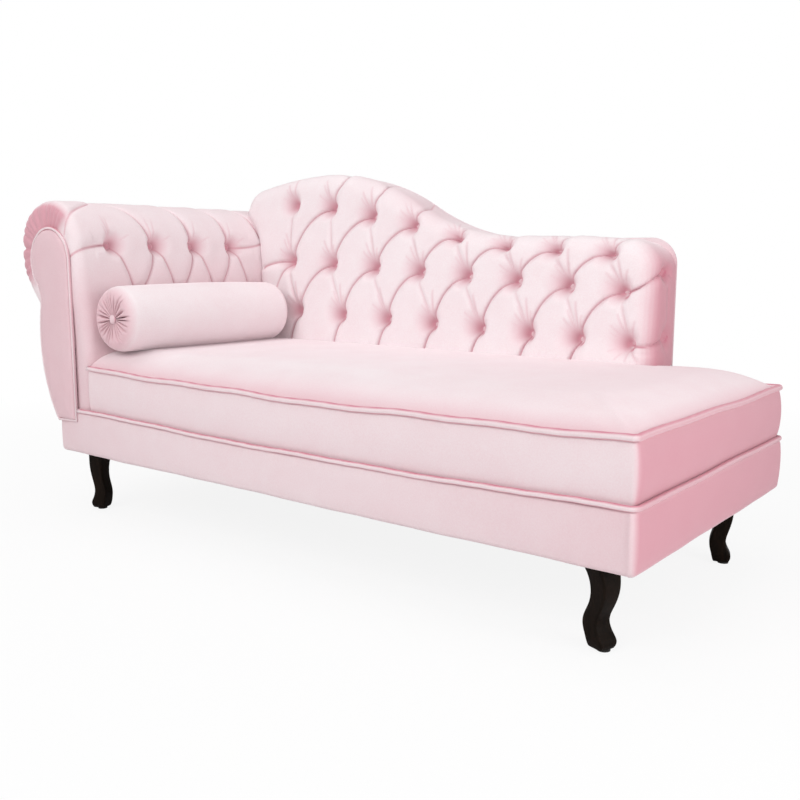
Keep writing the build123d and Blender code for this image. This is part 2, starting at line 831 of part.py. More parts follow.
# Back frame: a serpentine top rail on four posts, tied by a bottom rail
under_top_rail = Pos(0, -back_top_rail_height) * back_frame_section(gap)
with BuildSketch() as top_rail_outline:
    add(back_frame_section(gap))
    add(under_top_rail, mode=Mode.SUBTRACT)
    with Locations((frame_left, base_top + back_top_rail_height)):
        Rectangle(overall_length, back_height, align=(Align.MIN, Align.MIN), mode=Mode.INTERSECT)
back_frame_piece("back_top_rail", top_rail_outline.sketch)

post_bay = (frame_right - frame_left - back_post_width) / 3
for post_label, post_steps, post_foot in (
    ("back_left_post", [0], 0),
    ("back_middle_posts", [1, 2], back_post_width),
    ("back_right_post", [3], 0),
):
    with BuildSketch() as post_outline:
        for step in post_steps:
            with Locations((frame_left + gap + step * post_bay, base_top + post_foot)):
                Rectangle(
                    back_post_width - 2 * gap, back_height, align=(Align.MIN, Align.MIN)
                )
        add(under_top_rail, mode=Mode.INTERSECT)
    back_frame_piece(post_label, post_outline.sketch)

box_piece(
    "back_bottom_rail",
    (frame_left + back_post_width, back_frame_front, base_top),
    (frame_right - back_post_width, back_panel_front, base_top + back_post_width),
)

with BuildPart() as back_liner:
    with BuildSketch(upright(back_frame_front)):
        add(back_frame_section(gap))
    extrude(amount=liner_thickness)
write(back_liner, "back_liner")


def row_spot(row, column):
    """Place of one back button on the leaning face: along X, and up from the base."""
    share = column / (back_button_columns - 1)
    first = arm_inner + back_row_starts[row]
    last = back_right - back_row_ends[row]
    x = first + (last - first) * share + back_row_bows[row] * 4 * share * (1 - share)
    left_height, right_height = back_row_heights[row]
    if row == len(back_row_heights) - 1:
        eased = share**back_top_row_ease
        share = eased * eased * (3 - 2 * eased)
    return (x, left_height + (right_height - left_height) * share)


rows = range(len(back_row_heights))
columns = range(back_button_columns)
back_spots = [[row_spot(row, column) for column in columns] for row in rows]
lowest, middle, highest = back_spots
seat_line = seat_top - base_top
back_pleats = []
for lower, upper in ((lowest, middle), (middle, highest)):
    back_pleats += list(zip(lower, upper))
    back_pleats += list(zip(lower, upper[1:]))
back_pleats += [(spot, (spot[0] - 2 * button_radius, seat_line)) for spot in lowest]
back_pleats += [(spot, (spot[0] + button_radius, back_height - base_top)) for spot in highest]
back_end = Plane(origin=(back_right, back_front, base_top), x_dir=(0, 1, 0), z_dir=(1, 0, 0))

# Tufted back pad: padding over the front, top and foot end of the frame, let in round the arm
with BuildPart() as back_pad:
    with BuildSketch(upright(back_panel_front)):
        add(back_outline(base_top))
    extrude(amount=back_panel_front - back_front)
    split(bisect_by=back_face, keep=Keep.BOTTOM)
    face_edges = back_pad.faces().sort_by(Axis.Y)[0].edges()
    fillet([e for e in face_edges if (e @ 0.5).Z > base_top + gap], back_front_round)
    with BuildSketch(upright(back_panel_front)):
        add(back_frame_section(0))
    extrude(amount=back_panel_front - back_liner_front, mode=Mode.SUBTRACT)
    with BuildSketch(upright(base_rear)):
        add(arm_outline(scroll_x))
        offset(amount=gap)
    extrude(amount=base_depth, mode=Mode.SUBTRACT)
    for pleat_start, pleat_end in back_pleats:
        add(straight_pleat(back_face, pleat_start, pleat_end), mode=Mode.SUBTRACT)
    for spot in lowest + middle + highest:
        add(dimple(back_face, spot), mode=Mode.SUBTRACT)
    for spot in back_end_buttons:
        add(dimple(back_end, spot), mode=Mode.SUBTRACT)
write(back_pad, "back_pad")

with BuildPart() as back_buttons:
    for spot in lowest + middle + highest:
        add(button(back_face, spot))
    for spot in back_end_buttons:
        add(button(back_end, spot))
write(back_buttons, "back_buttons")

with BuildPart() as back_outside_panel:
    with BuildSketch(upright(back_rear)):
        add(back_outline(base_top))
    extrude(amount=back_panel_thickness)
    with BuildSketch(upright(base_rear)):
        add(arm_outline(scroll_x))
        offset(amount=gap)
    extrude(amount=base_depth, mode=Mode.SUBTRACT)
write(back_outside_panel, "back_outside_panel")

# Loose bolster: it lies on the seat against the arm, with dished ends drawn in by a button
bolster_z = seat_top + gap + bolster_radius
bolster_reach = bolster_radius + gap - (bolster_z - seat_top) * arm_face.z_dir.Z
bolster_x = arm_inner + bolster_reach / arm_face.z_dir.X
bolster_front = base_front + bolster_front_setback
bolster_y = bolster_front + bolster_length / 2
bolster_half = Plane(origin=(bolster_x, bolster_y, bolster_z), x_dir=(0, 1, 0), z_dir=(1, 0, 0))
bolster_axis = Axis((bolster_x, bolster_y, bolster_z), (0, 1, 0))


def bolster_profile(skin):
    """Half section of the bolster, set in by the thickness of its cover."""
    half = bolster_length / 2 - skin
    radius = bolster_radius - skin
    round_in = bolster_end_round - skin
    seat = bolster_button_radius + gap
    with BuildSketch() as profile:
        with BuildLine():
            Line((0, 0), (half - bolster_end_dish, 0))
            Line((half - bolster_end_dish, 0), (half - bolster_end_dish, seat))
            ThreePointArc(
                (half - bolster_end_dish, seat),
                (half - 0.3 * bolster_end_dish, (seat + radius - round_in) / 2),
                (half, radius - round_in),
            )
            turn = round_in * (1 - sqrt(0.5))
            ThreePointArc(
                (half, radius - round_in),
                (half - turn, radius - turn - bolster_crown / 2),
                (half - round_in, radius - bolster_crown),
            )
            ThreePointArc(
                (half - round_in, radius - bolster_crown),
                ((half - round_in) / 2, radius - bolster_crown / 4),
                (0, radius),
            )
            Line((0, radius), (0, 0))
        make_face()
        mirror(about=Plane.YZ)
    return profile.sketch


with BuildPart() as bolster_cover:
    with BuildSketch(bolster_half):
        add(bolster_profile(0))
        add(bolster_profile(bolster_skin), mode=Mode.SUBTRACT)
    revolve(axis=bolster_axis)
write(bolster_cover, "bolster_cover")

with BuildPart() as bolster_core:
    with BuildSketch(bolster_half):
        add(bolster_profile(bolster_skin + gap))
    revolve(axis=bolster_axis)
write(bolster_core, "bolster_core")

with BuildPart() as bolster_buttons:
    for side in (-1, 1):
        floor = (bolster_x, bolster_y + side * (bolster_length / 2 - bolster_end_dish), bolster_z)
        with BuildSketch(Plane(origin=floor, x_dir=(1, 0, 0), z_dir=(0, 0, side))):
            add(dome_profile(bolster_button_radius, bolster_button_height))
        revolve(axis=bolster_axis)
write(bolster_buttons, "bolster_buttons")
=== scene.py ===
from math import acos, asin, atan2, cos, hypot, pi, radians, sin, sqrt, tan
import bmesh
import bpy
import numpy as np
from mathutils import Matrix, Vector


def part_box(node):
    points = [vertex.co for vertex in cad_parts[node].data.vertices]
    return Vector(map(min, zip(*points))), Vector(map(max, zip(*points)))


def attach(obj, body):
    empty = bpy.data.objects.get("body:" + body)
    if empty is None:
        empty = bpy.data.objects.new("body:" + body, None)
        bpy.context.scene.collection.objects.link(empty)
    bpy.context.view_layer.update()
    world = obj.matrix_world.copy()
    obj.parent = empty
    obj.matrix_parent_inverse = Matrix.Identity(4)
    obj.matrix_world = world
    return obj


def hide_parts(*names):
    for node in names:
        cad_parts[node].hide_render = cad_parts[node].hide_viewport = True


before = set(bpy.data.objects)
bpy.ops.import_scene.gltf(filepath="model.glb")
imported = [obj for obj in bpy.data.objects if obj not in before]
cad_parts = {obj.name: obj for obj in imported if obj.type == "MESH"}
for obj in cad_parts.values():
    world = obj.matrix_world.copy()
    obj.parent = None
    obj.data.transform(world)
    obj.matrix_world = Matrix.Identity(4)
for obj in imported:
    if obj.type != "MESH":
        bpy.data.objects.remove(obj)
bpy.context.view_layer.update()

# Legs: four cabriole legs of dark stained hardwood, sawn to an S from square stock and rounded over.
# Each stands under a corner of the base, turned outwards, and a bolt draws it up to the frame.
leg_inset = 0.076
rear_leg_inset = 0.108
right_leg_shift = 0.008
leg_turn = radians(20)
leg_corner_share = 0.13
leg_smoothing = 2
leg_levels = [
    (0.00, 0.035, 0.035, 0.003),
    (0.015, 0.038, 0.038, 0.003),
    (0.05, 0.043, 0.043, 0.004),
    (0.10, 0.046, 0.046, 0.003),
    (0.15, 0.044, 0.043, -0.003),
    (0.21, 0.042, 0.041, -0.010),
    (0.29, 0.040, 0.038, -0.014),
    (0.38, 0.039, 0.037, -0.009),
    (0.47, 0.039, 0.037, 0.000),
    (0.57, 0.041, 0.038, 0.007),
    (0.68, 0.044, 0.041, 0.010),
    (0.80, 0.048, 0.044, 0.007),
    (0.90, 0.053, 0.048, -0.001),
    (1.00, 0.064, 0.057, -0.014),
]
leg_sways = {"front_right": 1.0, "front_left": 0.5, "rear_right": 0.6, "rear_left": 0.6}


def srgb(red, green, blue):
    """A colour picked on screen, from 0 to 255, as the linear values that a shader takes."""
    return [*((c / 255 + 0.055) ** 2.4 / 1.055**2.4 for c in (red, green, blue)), 1.0]


def add_node(tree, kind, inputs=(), **settings):
    """Add a shader node, set its options, and give each listed input a value or a link."""
    made = tree.nodes.new(kind)
    for name, value in settings.items():
        setattr(made, name, value)
    for key, value in dict(inputs).items():
        if isinstance(value, bpy.types.NodeSocket):
            tree.links.new(value, made.inputs[key])
        else:
            made.inputs[key].default_value = value
    return made


def mix_colours(tree, share, first, second):
    """The colour between two others at a share that changes over the surface."""
    return add_node(tree, "ShaderNodeMix", {0: share, 6: first, 7: second}, data_type="RGBA").outputs[2]


def spread(tree, value, low, high, out_low, out_high):
    """A value moved from one range to another and kept inside it."""
    inputs = {0: value, 1: low, 2: high, 3: out_low, 4: out_high}
    return add_node(tree, "ShaderNodeMapRange", inputs).outputs[0]


def combine(tree, operation, first, second):
    """Two values taken together by a sum, a product or the like."""
    return add_node(tree, "ShaderNodeMath", {0: first, 1: second}, operation=operation).outputs[0]


def noise(tree, place, scale, detail, roughness=0.5, distortion=0.0):
    """A cloudy value over the surface, with more clouds to the metre at a larger scale."""
    inputs = {"Vector": place, "Scale": scale, "Detail": detail}
    inputs |= {"Roughness": roughness, "Distortion": distortion}
    return add_node(tree, "ShaderNodeTexNoise", inputs).outputs[0]


def shift(tree, place, **change):
    """Places stretched or turned by a mapping."""
    return add_node(tree, "ShaderNodeMapping", {"Vector": place, **change}).outputs[0]


def new_finish(name):
    """An empty material: its node tree, its shader and the place of each point on the object."""
    finish = bpy.data.materials.new(name)
    finish.use_nodes = True
    tree = finish.node_tree
    shader = tree.nodes["Principled BSDF"]
    place = tree.nodes.new("ShaderNodeTexCoord").outputs["Object"]
    return finish, tree, shader, place


def new_group(name, inputs, outputs):
    """A shader node group with named sockets, and its input and output nodes."""
    tree = bpy.data.node_groups.new(name, "ShaderNodeTree")
    for socket, kind in inputs.items():
        tree.interface.new_socket(socket, in_out="INPUT", socket_type=kind)
    for socket, kind in outputs.items():
        tree.interface.new_socket(socket, in_out="OUTPUT", socket_type=kind)
    return tree, tree.nodes.new("NodeGroupInput").outputs, tree.nodes.new("NodeGroupOutput").inputs


def use_group(tree, group, inputs):
    """Place a node group in a material and give it its values."""
    return add_node(tree, "ShaderNodeGroup", inputs, node_tree=group).outputs


def link(tree, source, target):
    """Join two sockets."""
    tree.links.new(source, target)


def bump(tree, shader, height, strength, distance):
    """Raise and lower the surface by a height that changes over it."""
    inputs = {"Height": height, "Strength": strength, "Distance": distance}
    link(tree, add_node(tree, "ShaderNodeBump", inputs).outputs[0], shader.inputs["Normal"])


# Wood grain along Z: long fibres, broad growth bands and open pores
wood_grain, grain_in, grain_out = new_group(
    "wood_grain",
    {"Place": "NodeSocketVector", "Light": "NodeSocketColor", "Dark": "NodeSocketColor"},
    {"Colour": "NodeSocketColor", "Height": "NodeSocketFloat"},
)
grain_place = shift(wood_grain, grain_in["Place"], Scale=(1, 1, 0.07))
grain_bands = noise(wood_grain, grain_place, 60, 3, distortion=1.2)
grain_fibres = noise(wood_grain, grain_place, 900, 2)
grain_share = spread(wood_grain, combine(wood_grain, "MULTIPLY", grain_bands, grain_fibres), 0.12, 0.4, 0, 1)
grain_colour = mix_colours(wood_grain, grain_share, grain_in["Dark"], grain_in["Light"])
link(wood_grain, grain_colour, grain_out["Colour"])
link(wood_grain, grain_fibres, grain_out["Height"])

leg_wood, leg_tree, leg_shader, leg_place = new_finish("leg_wood")
leg_grain = use_group(
    leg_tree, wood_grain, {"Place": leg_place, "Light": srgb(30, 20, 13), "Dark": srgb(12, 8, 5)}
)
link(leg_tree, leg_grain["Colour"], leg_shader.inputs["Base Color"])
link(leg_tree, spread(leg_tree, leg_grain["Height"], 0.3, 0.7, 0.56, 0.44), leg_shader.inputs["Roughness"])
leg_shader.inputs["Specular IOR Level"].default_value = 0.07
bump(leg_tree, leg_shader, leg_grain["Height"], 0.12, 0.0006)


def add_object(name, data):
    """Put a mesh, a curve, a lamp or a camera in the scene as an object at the origin."""
    made = bpy.data.objects.new(name, data)
    bpy.context.scene.collection.objects.link(made)
    return made


def plain_mesh(name, bm):
    """The mesh of a finished bmesh."""
    mesh = bpy.data.meshes.new(name)
    bm.to_mesh(mesh)
    bm.free()
    return mesh


def make_piece(name, bm, finish, nodes, body="recamier"):
    """Turn a bmesh into a smooth piece that rides on a body and stands for CAD nodes."""
    mesh = plain_mesh(name, bm)
    mesh.shade_smooth()
    mesh.materials.append(finish)
    piece = add_object(name, mesh)
    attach(piece, body)
    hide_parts(*nodes)
    return piece


def pick(parts, kind):
    """The vertices, edges or faces among what an operator returns."""
    return [part for part in parts if isinstance(part, kind)]


def face_out(bm):
    """Turn the faces of a closed form outwards."""
    bmesh.ops.recalc_face_normals(bm, faces=bm.faces[:])


def carve_leg(x, y, turn, sway, bottom, top):
    """A leg drawn up level by level from its sole, each level a rounded square set in or out."""
    bm = bmesh.new()
    bmesh.ops.create_grid(bm, x_segments=1, y_segments=1, size=0.5)
    bmesh.ops.bevel(
        bm,
        geom=bm.verts[:],
        offset=leg_corner_share,
        segments=3,
        profile=0.5,
        affect="VERTICES",
        material=-1,
    )
    face = next(iter(bm.faces))
    face.normal_flip()
    spot = Vector((0, 0, 0))
    size = Vector((1, 1, 1))
    for level, (share, width, depth, outward) in enumerate(leg_levels):
        if level:
            grown = bmesh.ops.extrude_face_region(bm, geom=[face])["geom"]
            face = pick(grown, bmesh.types.BMFace)[0]
        change = (depth / size.x, width / size.y, 1)
        bmesh.ops.scale(bm, vec=change, space=Matrix.Translation(-spot), verts=face.verts[:])
        target = Vector((sway * outward, 0, bottom + share * (top - bottom)))
        bmesh.ops.translate(bm, vec=target - spot, verts=face.verts[:])
        spot, size = target, Vector((depth, width, 1))
    inner = [f for f in bm.faces if all(len(e.link_faces) > 2 for e in f.edges)]
    bmesh.ops.delete(bm, geom=inner, context="FACES_ONLY")
    face_out(bm)
    bmesh.ops.rotate(bm, cent=(0, 0, 0), matrix=Matrix.Rotation(turn, 3, "Z"), verts=bm.verts[:])
    bmesh.ops.translate(bm, vec=(x, y, 0), verts=bm.verts[:])
    return bm


base_low, base_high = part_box("base_cover")
for leg_end, leg_x, end_sign in (
    ("left", base_low.x + leg_inset, -1),
    ("right", base_high.x - leg_inset - right_leg_shift, 1),
):
    for leg_side, leg_y, side_sign in (
        ("front", base_low.y + leg_inset, -1),
        ("rear", base_high.y - rear_leg_inset, 1),
    ):
        leg_node = f"leg_{leg_side}_{leg_end}"
        outward_turn = atan2(side_sign * sin(leg_turn), end_sign * cos(leg_turn))
        leg_low, leg_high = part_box(leg_node)
        leg_sway = leg_sways[f"{leg_side}_{leg_end}"]
        leg_mesh = carve_leg(leg_x, leg_y, outward_turn, leg_sway, leg_low.z, leg_high.z)
        leg_piece = make_piece(f"{leg_side}_{leg_end}_leg", leg_mesh, leg_wood, [leg_node])
        rounding = leg_piece.modifiers.new("rounding", "SUBSURF")
        rounding.levels = rounding.render_levels = leg_smoothing

# Leg fixings: steel bolts and tee nuts, and moulded plastic glides under the soles.
# They are the CAD nodes themselves, with zinc-plated steel and black plastic finishes.
steel, steel_tree, steel_shader, steel_place = new_finish("fixing_steel")
steel_bloom = noise(steel_tree, steel_place, 400, 3)
steel_colour = mix_colours(steel_tree, steel_bloom, srgb(150, 150, 146), srgb(196, 196, 190))
link(steel_tree, steel_colour, steel_shader.inputs["Base Color"])
link(steel_tree, spread(steel_tree, steel_bloom, 0.3, 0.7, 0.3, 0.5), steel_shader.inputs["Roughness"])
steel_shader.inputs["Metallic"].default_value = 1.0

glide_plastic, glide_tree, glide_shader, glide_place = new_finish("glide_plastic")
glide_grain = noise(glide_tree, glide_place, 1500, 2)
glide_colour = mix_colours(glide_tree, glide_grain, srgb(22, 21, 20), srgb(40, 38, 36))
link(glide_tree, glide_colour, glide_shader.inputs["Base Color"])
glide_shader.inputs["Roughness"].default_value = 0.55
bump(glide_tree, glide_shader, glide_grain, 0.2, 0.0003)


def dress(finish, *nodes):
    """Give CAD nodes a finish in their own material slots."""
    for name in nodes:
        node_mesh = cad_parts[name].data
        node_mesh.materials.clear()
        node_mesh.materials.append(finish)


dress(steel, "leg_bolts", "leg_tee_nuts")
dress(glide_plastic, "leg_glides")

# Frame: sawn softwood rails, blocks, stumps and posts, glued and screwed, and thin board liners.
# All of it is closed in by the upholstery. These are the CAD nodes, with grain along each member.
along_x = (0, pi / 2, 0)
along_y = (pi / 2, 0, 0)
along_z = (0, 0, 0)


def timber(name, direction, light, dark):
    """Plain sawn wood with its grain along one direction."""
    finish, tree, shader, place = new_finish(name)
    turned = shift(tree, place, Rotation=direction)
    grain = use_group(tree, wood_grain, {"Place": turned, "Light": light, "Dark": dark})
    link(tree, grain["Colour"], shader.inputs["Base Color"])
    shader.inputs["Roughness"].default_value = 0.75
    bump(tree, shader, grain["Height"], 0.3, 0.0008)
    return finish


pine_light = srgb(222, 190, 146)
pine_dark = srgb(182, 142, 98)
dress(
    timber("frame_timber_x", along_x, pine_light, pine_dark),
    "seat_front_rail",
    "seat_rear_rail",
    "seat_back_rail",
    "back_bottom_rail",
    "back_top_rail",
)
dress(
    timber("frame_timber_y", along_y, pine_light, pine_dark),
    "seat_left_rail",
    "seat_right_rail",
    "seat_cross_rails",
    "arm_roll_rail",
    "arm_tack_rail",
    "arm_bottom_rail",
)
dress(
    timber("frame_timber_z", along_z, pine_light, pine_dark),
    "leg_blocks",
    "arm_front_stump",
    "arm_rear_stump",
    "back_left_post",
    "back_middle_posts",
    "back_right_post",
)
dress(timber("liner_board", along_x, srgb(176, 140, 104), srgb(140, 106, 74)), "arm_liner", "back_liner")

# Suspension: elastic straps woven of rubber and yarn, stapled across the frame in both directions.
# The straps are the CAD nodes, with a dark weave of two close tones.
thread_weave, weave_in, weave_out = new_group(
    "thread_weave",
    {"Place": "NodeSocketVector", "Threads": "NodeSocketFloat"},
    {"Tone": "NodeSocketFloat", "Height": "NodeSocketFloat"},
)
weave_layers = []
for stretch in ((1, 1, 0.14), (0.14, 0.14, 1)):
    stretched = shift(thread_weave, weave_in["Place"], Scale=stretch)
    weave_layers.append(noise(thread_weave, stretched, weave_in["Threads"], 2, roughness=0.6))
link(thread_weave, combine(thread_weave, "MAXIMUM", *weave_layers), weave_out["Height"])
link(thread_weave, combine(thread_weave, "MULTIPLY", *weave_layers), weave_out["Tone"])


def woven(name, threads, dark, light, roughness, relief):
    """A plain woven cloth of two close tones."""
    finish, tree, shader, place = new_finish(name)
    cloth = use_group(tree, thread_weave, {"Place": place, "Threads": threads})
    colour = mix_colours(tree, spread(tree, cloth["Tone"], 0.12, 0.4, 0, 1), dark, light)
    link(tree, colour, shader.inputs["Base Color"])
    shader.inputs["Roughness"].default_value = roughness
    bump(tree, shader, cloth["Height"], relief, 0.0005)
    return finish


dress(
    woven("strap", 700, srgb(40, 38, 36), srgb(82, 78, 72), 0.8, 0.5),
    "seat_cross_webbing",
    "seat_long_webbing",
)

# Lining cloths: a deck cloth laid over the straps and a black dust cover stapled under the base.
# The deck cloth is the CAD node. The dust cover is a thin sheet that sags a little between its edges.
lining_cloth = woven("lining_cloth", 900, srgb(22, 22, 24), srgb(50, 50, 54), 0.9, 0.35)
deck_cloth = woven("deck_cloth", 800, srgb(190, 182, 168), srgb(226, 220, 206), 0.9, 0.35)
sheet_thickness = 0.0012
dust_sag = 0.0035
dust_cells = 48, 24


def level_grid(low, high, columns, rows):
    """A level sheet of even cells over the plan of a box."""
    size, middle = high - low, (low + high) / 2
    bm = bmesh.new()
    bmesh.ops.create_grid(bm, x_segments=columns, y_segments=rows, size=0.5)
    bmesh.ops.scale(bm, vec=(size.x, size.y, 1), verts=bm.verts[:])
    bmesh.ops.translate(bm, vec=(middle.x, middle.y, 0), verts=bm.verts[:])
    return bm


dress(deck_cloth, "seat_deck_cloth")
dust_low, dust_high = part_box("dust_cover")
dust_size, dust_middle = dust_high - dust_low, (dust_low + dust_high) / 2
dust_mesh = level_grid(dust_low, dust_high, *dust_cells)
for v in dust_mesh.verts:
    across_x = (v.co.x - dust_middle.x) / dust_size.x
    across_y = (v.co.y - dust_middle.y) / dust_size.y
    v.co.z = dust_high.z - dust_sag * cos(pi * across_x) * cos(pi * across_y)
dust_mesh.normal_update()
bmesh.ops.solidify(dust_mesh, geom=dust_mesh.faces[:], thickness=sheet_thickness)
face_out(dust_mesh)
dust_sheet = make_piece("underside_cloth", dust_mesh, lining_cloth, ["dust_cover"])

# Cover fabric: a short brushed pile like suede, pale pink, lighter where it is seen edge on.
# One cloth covers the base, seat, arm, back, bolster, welts and buttons. Shade is painted into it as a
# deeper pink, in its folds and on sides turned from the light, which each piece marks in a vertex attribute.
pink_light = srgb(242, 233, 235)
pink_face = srgb(238, 222, 225)
# The colour of painted shade, in folds and on sides turned from the light
shade_pink = srgb(203, 121, 139)
# How much shade is painted on sides that face the foot end
side_shade_depth = 0.8
cover_fabric, cover_tree, cover_shader, cover_place = new_finish("cover_fabric")
nap_patches = noise(cover_tree, cover_place, 9, 4, roughness=0.6)
nap_specks = noise(cover_tree, cover_place, 300, 3, roughness=0.7)
cover_weave = use_group(cover_tree, thread_weave, {"Place": cover_place, "Threads": 650})
nap_tone = combine(
    cover_tree,
    "ADD",
    spread(cover_tree, nap_patches, 0.35, 0.65, 0, 0.45),
    spread(cover_tree, nap_specks, 0.34, 0.66, 0, 0.7),
)
brushed = mix_colours(cover_tree, nap_tone, pink_face, pink_light)
# The cloth turns to the shade pink by the painted shade marked on each piece
shade_mark = add_node(cover_tree, "ShaderNodeAttribute", attribute_name="painted_shade").outputs["Fac"]
link(cover_tree, mix_colours(cover_tree, shade_mark, brushed, shade_pink), cover_shader.inputs["Base Color"])
for setting, value in (
    ("Roughness", 0.85),
    ("Specular IOR Level", 0.2),
    ("Sheen Weight", 0.5),
    ("Sheen Roughness", 0.45),
    ("Sheen Tint", srgb(255, 238, 242)),
):
    cover_shader.inputs[setting].default_value = value
bump(cover_tree, cover_shader, cover_weave["Height"], 0.25, 0.0005)

# Base band: padded fabric round the seat rails, rounded at the corners and turned under the bottom.
# It is stretched and stapled, so its long sides wave very slightly.
foot_reach = 0.010
base_high.x += foot_reach
base_corner = 0.013
base_turn_under = 0.012
base_seam_round = 0.011
base_cell = 0.022
base_wave = 0.0011
base_bulge = 0.003
foot_bulge = 0.007
# How much shade is painted over the band, and how much more towards the foot end
base_shade = 0.17
base_end_shade = 0.13
seat_clearance = 0.0003
front_droop = 0.014
droop_run = 0.15


def ripple(v, size):
    """A slow uneven wave over space, the same each time, for cloth that isn't quite flat."""
    return size * (
        0.6 * sin(7.3 * v.x + 3.1 * v.y + 2.0 * v.z)
        + 0.4 * sin(17.9 * v.x - 13.7 * v.y + 21.0 * v.z + 1.3)
        + 0.3 * sin(41.0 * v.x + 37.0 * v.y - 33.0 * v.z + 0.4)
    )


def slice_up(bm, axis, low, high, step):
    """Cut a mesh across into strips of about one width."""
    count = round((high - low) / step)
    for i in range(1, count):
        spot = Vector((0, 0, 0))
        spot[axis] = low + (high - low) * i / count
        across = Vector((0, 0, 0))
        across[axis] = 1
        geom = bm.verts[:] + bm.edges[:] + bm.faces[:]
        bmesh.ops.bisect_plane(bm, geom=geom, dist=1e-6, plane_co=spot, plane_no=across)


def round_edges(bm, edges, radius, segments):
    """Round edges over."""
    bmesh.ops.bevel(
        bm,
        geom=edges,
        offset=radius,
        segments=segments,
        profile=0.5,
        affect="EDGES",
        material=-1,
        clamp_overlap=False,
    )


def push_out(bm, amount):
    """Move every vertex along its normal by an amount that depends on its place."""
    bm.normal_update()
    for v, move in [(v, v.normal * amount(v.co)) for v in bm.verts]:
        v.co += move


base_mesh = bmesh.new()
bmesh.ops.create_cube(base_mesh, size=1)
bmesh.ops.scale(base_mesh, vec=base_high - base_low, verts=base_mesh.verts[:])
bmesh.ops.translate(base_mesh, vec=(base_low + base_high) / 2, verts=base_mesh.verts[:])
upright_edges = [e for e in base_mesh.edges if abs(e.verts[0].co.z - e.verts[1].co.z) > base_corner]
round_edges(base_mesh, upright_edges, base_corner, 8)
for level, radius in ((base_low.z, base_turn_under), (base_high.z, base_seam_round)):
    rim = [e for e in base_mesh.edges if all(abs(v.co.z - level) < 1e-5 for v in e.verts)]
    round_edges(base_mesh, rim, radius, 5)
slice_up(base_mesh, 0, base_low.x, base_high.x, base_cell)
slice_up(base_mesh, 1, base_low.y, base_high.y, base_cell)
slice_up(base_mesh, 2, base_low.z + base_turn_under, base_high.z - base_seam_round, base_cell)


def share_between(value, low, high):
    """How far a value lies on the way from low to high, from 0 to 1."""
    return min(1.0, max(0.0, (value - low) / (high - low)))


def base_swell(co):
    """How far the band stands out between its two edges, most at the foot end."""
    bulge = foot_bulge if co.x > base_high.x - base_corner else base_bulge
    return ripple(co, base_wave) + bulge * sin(pi * share_between(co.z, base_low.z, base_high.z)) ** 0.5


push_out(base_mesh, base_swell)
seat_low, seat_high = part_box("seat_cover")
arm_inner = seat_low.x - seat_clearance
seat_high.x += foot_reach
seat_edge = sum(corner.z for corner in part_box("seat_welt")) / 2


def hang_down(points):
    """Lower points at the front, where the cushion and band hang most in the middle of the length."""
    levels = [base_low.z, base_high.z, seat_edge, seat_high.z]
    for co in points:
        along = share_between(co.x, arm_inner, base_high.x)
        near_front = share_between(co.y, base_low.y + droop_run, base_low.y) ** 1.5
        co.z -= front_droop * sin(pi * along) * near_front * np.interp(co.z, levels, [0, 0.85, 1, 0])


hang_down([v.co for v in base_mesh.verts])


def paint_shade(bm, depth=0.0):
    """Mark painted shade: a given depth all over, and more on the foot-end sides, which face away from the
    light.
    """
    marks = bm.verts.layers.float.new("painted_shade")
    bm.normal_update()
    for v in bm.verts:
        v[marks] = max(depth, side_shade_depth * max(0, v.normal.x) ** 1.5)
    return marks


def cover_piece(name, bm, nodes, body="recamier"):
    """Make a piece of the cover fabric."""
    return make_piece(name, bm, cover_fabric, nodes, body)


# Painted shade over the band, deeper towards the foot end and on its foot-end side
base_shade_marks = paint_shade(base_mesh)
for v in base_mesh.verts:
    v[base_shade_marks] = max(v[base_shade_marks], base_shade + base_end_shade * (v.co.x / 0.9) ** 2)
base_band = cover_piece("base_band", base_mesh, ["base_cover"])

# Welts: a thin cord wrapped in the cover fabric, sewn in along the seams.
# They wander a little up and down, as hand-guided seams do, and the seat is shaped to the same line.
welt_reach_in = -0.0008
base_welt_radius = 0.006
seat_welt_radius = 0.0074
seat_set_back = 0.006
welt_sides = 20
welt_step = 0.012
# How much shade is painted over the welts
welt_shade = 0.22
welt_pucker = 0.0003


def seam_wander(x, y):
    """How far a sewn edge strays from level at a place round the seat."""
    return 0.0016 * sin(10.1 * x + 8.3 * y) + 0.0011 * sin(26.0 * x - 19.0 * y + 1.1)


def run_round(inset, level, front_start, rear_end, corner):
    """Points of a route along the front, round the foot end and back along the rear of the seat."""
    right = base_high.x - inset
    front = base_low.y + inset
    turn_x, turn_y = right - corner, front + corner
    quarter = np.linspace(0, pi / 2, 7)
    runs = [
        [(x, front) for x in np.arange(front_start, turn_x, welt_step)],
        [(turn_x + corner * sin(a), turn_y - corner * cos(a)) for a in quarter],
        [(right, y) for y in np.arange(turn_y, -turn_y, welt_step)[1:]],
        [(turn_x + corner * cos(a), -turn_y + corner * sin(a)) for a in quarter],
        [(x, -front) for x in np.arange(turn_x, rear_end, -welt_step)[1:]],
    ]
    return [Vector((x, y, level)) for run in runs for x, y in run]


def drawn_mesh(data, kind=None, **settings):
    """The mesh that a curve draws, or that a mesh turns into under one modifier."""
    carrier = add_object("draft", data)
    if kind:
        change = carrier.modifiers.new("change", kind)
        for name, value in settings.items():
            setattr(change, name, value)
    bpy.context.view_layer.update()
    drawn = carrier.evaluated_get(bpy.context.evaluated_depsgraph_get())
    made = bpy.data.meshes.new_from_object(drawn)
    bpy.data.objects.remove(carrier)
    return made


def merge_points(bm):
    """Join the points that lie on each other and turn the faces outwards."""
    bmesh.ops.remove_doubles(bm, verts=bm.verts[:], dist=1e-6)
    face_out(bm)


